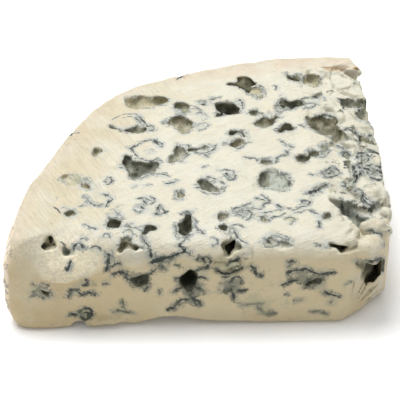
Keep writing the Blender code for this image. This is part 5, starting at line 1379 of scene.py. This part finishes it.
def cheese_material():
    m = bpy.data.materials.new("blue_cheese_paste")
    g = Graph(m)
    depth, olive, gloom = g.parts("cave")
    halo, blue, green = g.parts("mould")
    front, right, rind = g.parts("place")
    yellow, warm, crumble = g.parts("tone")
    rim, vicinity, below = g.parts("edge")
    crack, low, upward = g.parts("relief")

    broad = g.noise(14.0, 2.0)
    mid = g.noise(3.6, 3.0, 0.6)
    fine = g.noise(0.9, 3.0, 0.6)
    tiny = g.noise(0.35, 2.0, 0.5)
    other = g.noise(2.2, 3.0, 0.55, vector=g.stretched(shift=(0.31, 0.17, 0.05)))

    cut = g.math("MAXIMUM", front, right)
    # paste: cream on top; on the cuts a darker, warmer beige that is partly their own waxier tone and partly painted
    # shade; yellower towards the rind
    c = g.mix(yellow, CREAM, YELLOW)
    c = g.mix(g.mul(g.step(broad, 0.40, 0.62), 0.45), c, IVORY)
    c = g.mix(g.mul(g.attribute("rim").outputs["Fac"], g.step(g.noise(9.0, 3.0, 0.6), 0.3, 0.6, 0.45, 0.95)), c, PEACH)
    c = g.mix(g.mul(g.step(g.noise(8.0, 3.0, 0.55, vector=g.stretched(shift=(0.5, 0.5, 0.1))), 0.50, 0.66), 0.26), c, (0.635, 0.555, 0.435))
    # painted shade, partly the cuts' own tone: the cuts are darkened and warmed
    c = g.mix(cut, c, g.mix(1.0, c, FRONT_TONE_AND_SHADE, "MULTIPLY"))
    c = g.mix(g.mul(g.step(mid, 0.35, 0.7), 0.10), c, (0.80, 0.70, 0.52))
    c = g.mix(g.mul(g.step(fine, 0.50, 0.75), 0.10), c, (0.62, 0.56, 0.44))
    c = g.mix(g.mul(g.step(tiny, 0.50, 0.66), 0.13), c, (0.47, 0.44, 0.34))
    # painted light: brighter colour on the bevel above the front ledge
    c = g.mix(g.attribute("lift").outputs["Fac"], c, g.mix(1.0, c, (1.26, 1.25, 1.22), "MULTIPLY"))

    left_way = g.noise(0.62, 2.0, 0.6, vector=g.fibres(25))
    right_way = g.noise(0.50, 2.0, 0.6, vector=g.fibres(-65))
    scratches = g.add(g.mul(left_way, g.step(yellow, 0.15, 0.5)), g.mul(right_way, g.step(yellow, 0.5, 0.15)))
    streak = g.mul(g.step(scratches, 0.46, 0.58), g.mul(g.step(cut, 0.5, 0.0, 0.08, 1.0), g.step(yellow, 0.0, 0.5, 0.15, 0.30)))
    c = g.mix(streak, c, (0.42, 0.38, 0.27))

    # pale halos round veins and cavities, with thin squiggles in them; on the cuts they take darker, warmer copies,
    # partly the cuts' own tone and partly painted shade
    around = g.step(g.add(vicinity, g.mul(g.add(mid, -0.5), 4.0)), 2.2, 0.5)
    c = g.mix(g.mul(around, 0.72), c, g.mix(cut, HALO, HALO_CUT_TONE_AND_SHADE))
    squiggle = g.step(g.math("ABSOLUTE", g.add(g.noise(2.4, 3.0, 0.6, 0.5), -0.5)), 0.034, 0.010)
    gate = g.step(g.noise(4.5, 2.0, 0.5, vector=g.stretched(shift=(0.7, 0.2, 0.9))), 0.45, 0.53)
    near_by = g.math("MAXIMUM", g.step(vicinity, 1.9, 0.9), g.math("MAXIMUM", g.step(halo, 0.25, 0.5), g.step(blue, 0.2, 0.4)))
    c = g.mix(g.mul(g.mul(squiggle, gate), g.mul(near_by, 0.78)), c, g.mix(cut, (0.10, 0.12, 0.12), SLATE))

    blot = g.add(g.noise(1.5, 4.0, 0.7, 0.3, g.stretched(shift=(0.2, 0.8, 0.6))), g.mul(g.step(vicinity, 2.0, 0.2), 0.16))
    blot = g.mul(g.step(blot, 0.60, 0.68), g.step(vicinity, 2.6, 1.3))
    c = g.mix(g.mul(blot, 0.68), c, g.mix(g.step(fine, 0.35, 0.65), g.mix(cut, BLUE, BLUE_FRONT), SLATE))

    # patches of mould
    halo_f = g.mul(halo, g.step(g.add(mid, g.mul(halo, 0.25)), 0.42, 0.62))
    c = g.mix(g.mul(halo_f, 0.55), c, g.mix(cut, HALO, HALO_CUT_TONE_AND_SHADE))
    blue_f = g.step(g.add(g.mul(blue, 0.62), other), 0.62, 0.86)
    c = g.mix(g.mul(blue_f, 0.62), c, g.mix(cut, BLUE, BLUE_FRONT))
    spots = g.step(g.add(g.mul(blue, 0.42), g.noise(1.1, 3.0, 0.65)), 0.86, 0.96)
    c = g.mix(g.mul(spots, 0.75), c, SLATE)
    green_f = g.step(g.add(g.mul(green, 0.55), mid), 0.62, 0.9)
    c = g.mix(g.mul(green_f, 0.6), c, OLIVE_STAIN)
    pit = g.add(g.noise(4.6, 5.0, 0.6, 0.3, g.stretched(shift=(0.6, 0.3, 0.2))), g.mul(g.step(low, -0.06, 0.12), 0.08))
    c = g.mix(g.mul(g.mul(g.step(pit, 0.57, 0.61), crumble), 0.45), c, g.mix(g.step(fine, 0.42, 0.58), HALO, BLUE))
    c = g.mix(g.mul(g.mul(g.step(pit, 0.61, 0.635), crumble), 0.95), c, g.mix(g.step(mid, 0.42, 0.58), (0.12, 0.12, 0.07), SLATE))
    cracks = g.mul(g.step(g.add(crack, g.mul(g.add(fine, -0.5), 1.4)), 0.75, 0.15), g.step(other, 0.42, 0.52))
    c = g.mix(g.mul(cracks, 0.45), c, g.mix(g.step(mid, 0.4, 0.6), OLIVE_STAIN, BLUE_FRONT))
    # darker olive or blue-grey in the surface's hollows, and ivory on its knobs off the cuts
    hollow = g.step(g.add(low, g.mul(g.add(other, -0.5), 0.35)), 0.03, 0.20)
    c = g.mix(g.mul(hollow, g.add(g.mul(crumble, 0.22), 0.22)), c, g.mix(g.step(mid, 0.42, 0.58), OLIVE_STAIN, BLUE_FRONT))
    c = g.mix(g.mul(g.step(low, -0.03, -0.16), g.mul(g.math("SUBTRACT", 1.0, cut), 0.35)), c, IVORY)

    # veins; round them the cuts take a darker copy of the colour, partly painted shade
    wobble = g.mul(g.add(g.noise(0.8, 3.0, 0.7), -0.5), 0.9)
    swell = g.step(g.noise(1.6, 2.0, 0.55, vector=g.stretched(shift=(0.9, 0.1, 0.4))), 0.32, 0.68, 0.25, 2.1)
    broken = g.step(g.noise(1.7, 2.0, 0.6, vector=g.stretched(shift=(0.05, 0.4, 0.2))), 0.34, 0.5, 0.35, 1.0)
    for k in range(CHANNELS):
        distance, strength, width = g.parts(f"vein_{k}")
        off = g.math("ABSOLUTE", g.add(distance, wobble))
        near = g.step(off, 0.75, 0.15)
        c = g.mix(g.mul(g.mul(near, strength), g.add(g.mul(front, 0.12), 0.42)), c, g.mix(cut, (0.50, 0.525, 0.495), BLUE_FRONT))
        half = g.mul(g.mul(g.mul(width, swell), 0.62), g.add(g.mul(front, 0.55), 1.0))
        line = g.step(g.add(off, g.mul(half, -1.0)), 0.14, -0.08)
        c = g.mix(g.mul(g.mul(line, g.step(strength, 0.1, 0.55)), g.mul(broken, 0.95)), c, SLATE)

    # cavities: cream goes through beige and olive or grey mould lining; up-facing floors are painted paler, which is
    # painted light; deeper in, the lining darkens, partly dark mould and partly painted shade
    lip = g.step(depth, 0.2, 1.1)
    wall = g.mix(g.step(mid, 0.38, 0.66), g.mix(olive, CAVE_GREY, CAVE_OLIVE), g.mix(olive, CAVE_GREY_PALE, CAVE_OLIVE_PALE))
    # painted light: faces that look up take the paler floor colour
    lining = g.mix(g.step(upward, 0.25, 0.65), wall, g.mix(g.step(other, 0.40, 0.58), wall, CAVE_FLOOR))
    lining = g.mix(g.step(gloom, 0.35, 0.0, 0.0, 0.65), lining, g.mix(olive, CAVE_FLOOR, CAVE_OLIVE_PALE))
    c = g.mix(g.mul(lip, g.mul(g.step(g.add(fine, g.mul(depth, 0.22)), 0.36, 0.64), 0.92)), c, lining)
    # painted shade with dark mould: darker the deeper into the cavity, as far as the hole's gloom allows
    deep = g.mul(g.step(depth, 1.3, 4.6), g.step(gloom, 0.0, 0.95, 0.10, 1.0))
    c = g.mix(g.mul(deep, g.step(g.add(other, g.mul(depth, 0.10)), 0.36, 0.72, 0.25, 1.0)), c, CAVE_DARK_MOULD_AND_SHADE)
    specks = g.mul(g.step(g.noise(0.8, 2.0, 0.5, vector=g.stretched(shift=(0.3, 0.1, 0.2))), 0.58, 0.66), lip)
    c = g.mix(g.mul(specks, 0.55), c, CAVE_DARK_MOULD_AND_SHADE)

    # rind: pale, dull, with a few grey-purple spots
    hide = g.mix(g.step(mid, 0.36, 0.66), RIND_PALE, RIND_TAN)
    hide = g.mix(g.step(g.noise(6.5, 4.0, 0.65, vector=g.stretched(shift=(0.2, 0.6, 0.1))), 0.60, 0.72, 0.0, 0.6), hide, RIND_MAUVE)
    c = g.mix(rind, c, hide)
    specks = g.step(g.noise(2.4, 4.0, 0.7, vector=g.stretched(shift=(0.4, 0.9, 0.2))), 0.50, 0.57)
    c = g.mix(g.mul(g.mul(specks, g.attribute("speckle").outputs["Fac"]), 0.7), c, (0.22, 0.18, 0.17))
    warm = g.add(warm, g.mul(g.step(warm, 0.05, 0.3), g.mul(g.add(fine, -0.5), 0.8)))
    c = g.mix(g.mul(g.step(warm, 0.12, 0.55), 0.6), c, (0.48, 0.33, 0.17))
    c = g.mix(g.mul(g.step(warm, 0.62, 0.95), 0.85), c, (0.15, 0.075, 0.035))

    # the underside is painted a little browner: partly a tan underside, partly painted shade to darken and warm the gap
    # under the arch
    c = g.mix(g.mul(g.mul(g.step(upward, -0.35, -0.8), g.step(below, 23.0, 25.0)), 0.7), c, (0.40, 0.28, 0.16))

    g.put(g.shader.inputs["Base Color"], c)
    rough = g.add(g.mul(lip, 0.25), g.step(fine, 0.3, 0.7, 0.42, 0.60))
    g.put(g.shader.inputs["Roughness"], rough)
    g.shader.inputs["Specular IOR Level"].default_value = 0.35
    g.shader.inputs["Subsurface Weight"].default_value = 0.25
    g.shader.inputs["Subsurface Radius"].default_value = (1.0, 0.62, 0.30)
    g.shader.inputs["Subsurface Scale"].default_value = 0.0010

    pits = g.step(g.noise(0.6, 2.0, 0.5), 0.62, 0.8)
    height = g.add(g.mul(scratches, g.step(cut, 0.1, 0.8, 1.1, 0.3)), g.add(g.mul(fine, 0.7), g.mul(pits, -0.6)))
    n = g.bump(g.noise(1.5, 3.0, 0.6), g.step(cut, 0.2, 0.9, 0.45, 0.15), 0.00055)
    n = g.bump(height, 0.62, 0.00036, n)
    n = g.bump(g.noise(0.5, 3.0, 0.65), 0.5, 0.00018, n)
    g.put(g.shader.inputs["Normal"], n)
    return m


CREAM = (0.625, 0.600, 0.490)
IVORY = (0.655, 0.645, 0.565)
YELLOW = (0.545, 0.475, 0.32)
PEACH = (0.615, 0.525, 0.41)
# what the cuts are multiplied by: partly their own waxier tone, partly painted shade
FRONT_TONE_AND_SHADE = (0.97, 0.855, 0.645)
HALO = (0.465, 0.485, 0.445)
# darker, warmer copies for the cuts, partly their own tone and partly painted shade; BLUE_FRONT also serves as a dark
# blue-grey on the top
HALO_CUT_TONE_AND_SHADE = (0.36, 0.35, 0.27)
BLUE = (0.28, 0.305, 0.28)
BLUE_FRONT = (0.145, 0.155, 0.112)
SLATE = (0.030, 0.037, 0.031)
OLIVE_STAIN = (0.40, 0.39, 0.25)
CAVE_GREY = (0.205, 0.215, 0.165)
CAVE_GREY_PALE = (0.40, 0.415, 0.35)
CAVE_OLIVE = (0.25, 0.24, 0.135)
CAVE_OLIVE_PALE = (0.54, 0.48, 0.33)
CAVE_FLOOR = (0.45, 0.475, 0.41)
CAVE_DARK_MOULD_AND_SHADE = (0.034, 0.034, 0.019)
RIND_PALE = (0.86, 0.745, 0.57)
RIND_TAN = (0.75, 0.625, 0.46)
RIND_MAUVE = (0.34, 0.29, 0.27)

material = cheese_material()
mesh.materials.clear()
mesh.materials.append(material)

# ---- floor, light and camera ----------------------------------------------------
floor_mesh = bpy.data.meshes.new("floor")
floor_mesh.from_pydata([(-3, -3, 0), (3, -3, 0), (3, 3, 0), (-3, 3, 0)], [], [(0, 1, 2, 3)])
floor = bpy.data.objects.new("floor", floor_mesh)
bpy.context.scene.collection.objects.link(floor)
floor.location.z = LOW.z - 0.00005
white = bpy.data.materials.new("floor")
white.use_nodes = True
white.node_tree.nodes["Principled BSDF"].inputs["Base Color"].default_value = (0.96, 0.96, 0.96, 1)
white.node_tree.nodes["Principled BSDF"].inputs["Roughness"].default_value = 0.9
white.node_tree.nodes["Principled BSDF"].inputs["Specular IOR Level"].default_value = 0.1
white.node_tree.nodes["Principled BSDF"].inputs["Emission Color"].default_value = (1, 1, 1, 1)
white.node_tree.nodes["Principled BSDF"].inputs["Emission Strength"].default_value = 0.06
floor_mesh.materials.append(white)


def area(name, place, target, size, power):
    light = bpy.data.lights.new(name, "AREA")
    light.shape, light.size, light.energy = "DISK", size, power
    lamp = bpy.data.objects.new(name, light)
    bpy.context.scene.collection.objects.link(lamp)
    lamp.location = place
    lamp.rotation_euler = (Vector(target) - Vector(place)).to_track_quat("-Z", "Y").to_euler()
    return lamp


area("overhead", (-0.18, 0.20, 0.80), (0, 0, 0), 0.60, 7.1)
area("ceiling", (0, 0, 1.4), (0, 0, 0), 2.4, 9.5)

world = bpy.data.worlds.new("studio")
bpy.context.scene.world = world
world.use_nodes = True
world.node_tree.nodes["Background"].inputs["Color"].default_value = (1, 1, 1, 1)
world.node_tree.nodes["Background"].inputs["Strength"].default_value = 0.30

camera = bpy.data.objects.new("camera", bpy.data.cameras.new("camera"))
bpy.context.scene.collection.objects.link(camera)
camera.data.sensor_width, camera.data.lens, camera.data.clip_start = 36.0, 112.5, 0.01
eye = Vector((-58.928, -269.581, 204.502)) + ORIGIN
across = Vector((0.99977302, -0.02130515, 0.0))
up = Vector((0.01222013, 0.57344625, 0.81915204))
back = -Vector((0.01745216, 0.81896611, -0.57357644))
turn = Matrix((across, up, back)).transposed().to_4x4()
camera.matrix_world = Matrix.Translation(eye * MM) @ turn
bpy.context.scene.camera = camera
bpy.context.scene.view_settings.view_transform = "Standard"

print("paste", len(mesh.vertices), "vertices", sum(len(q.vertices) - 2 for q in mesh.polygons), "triangles")
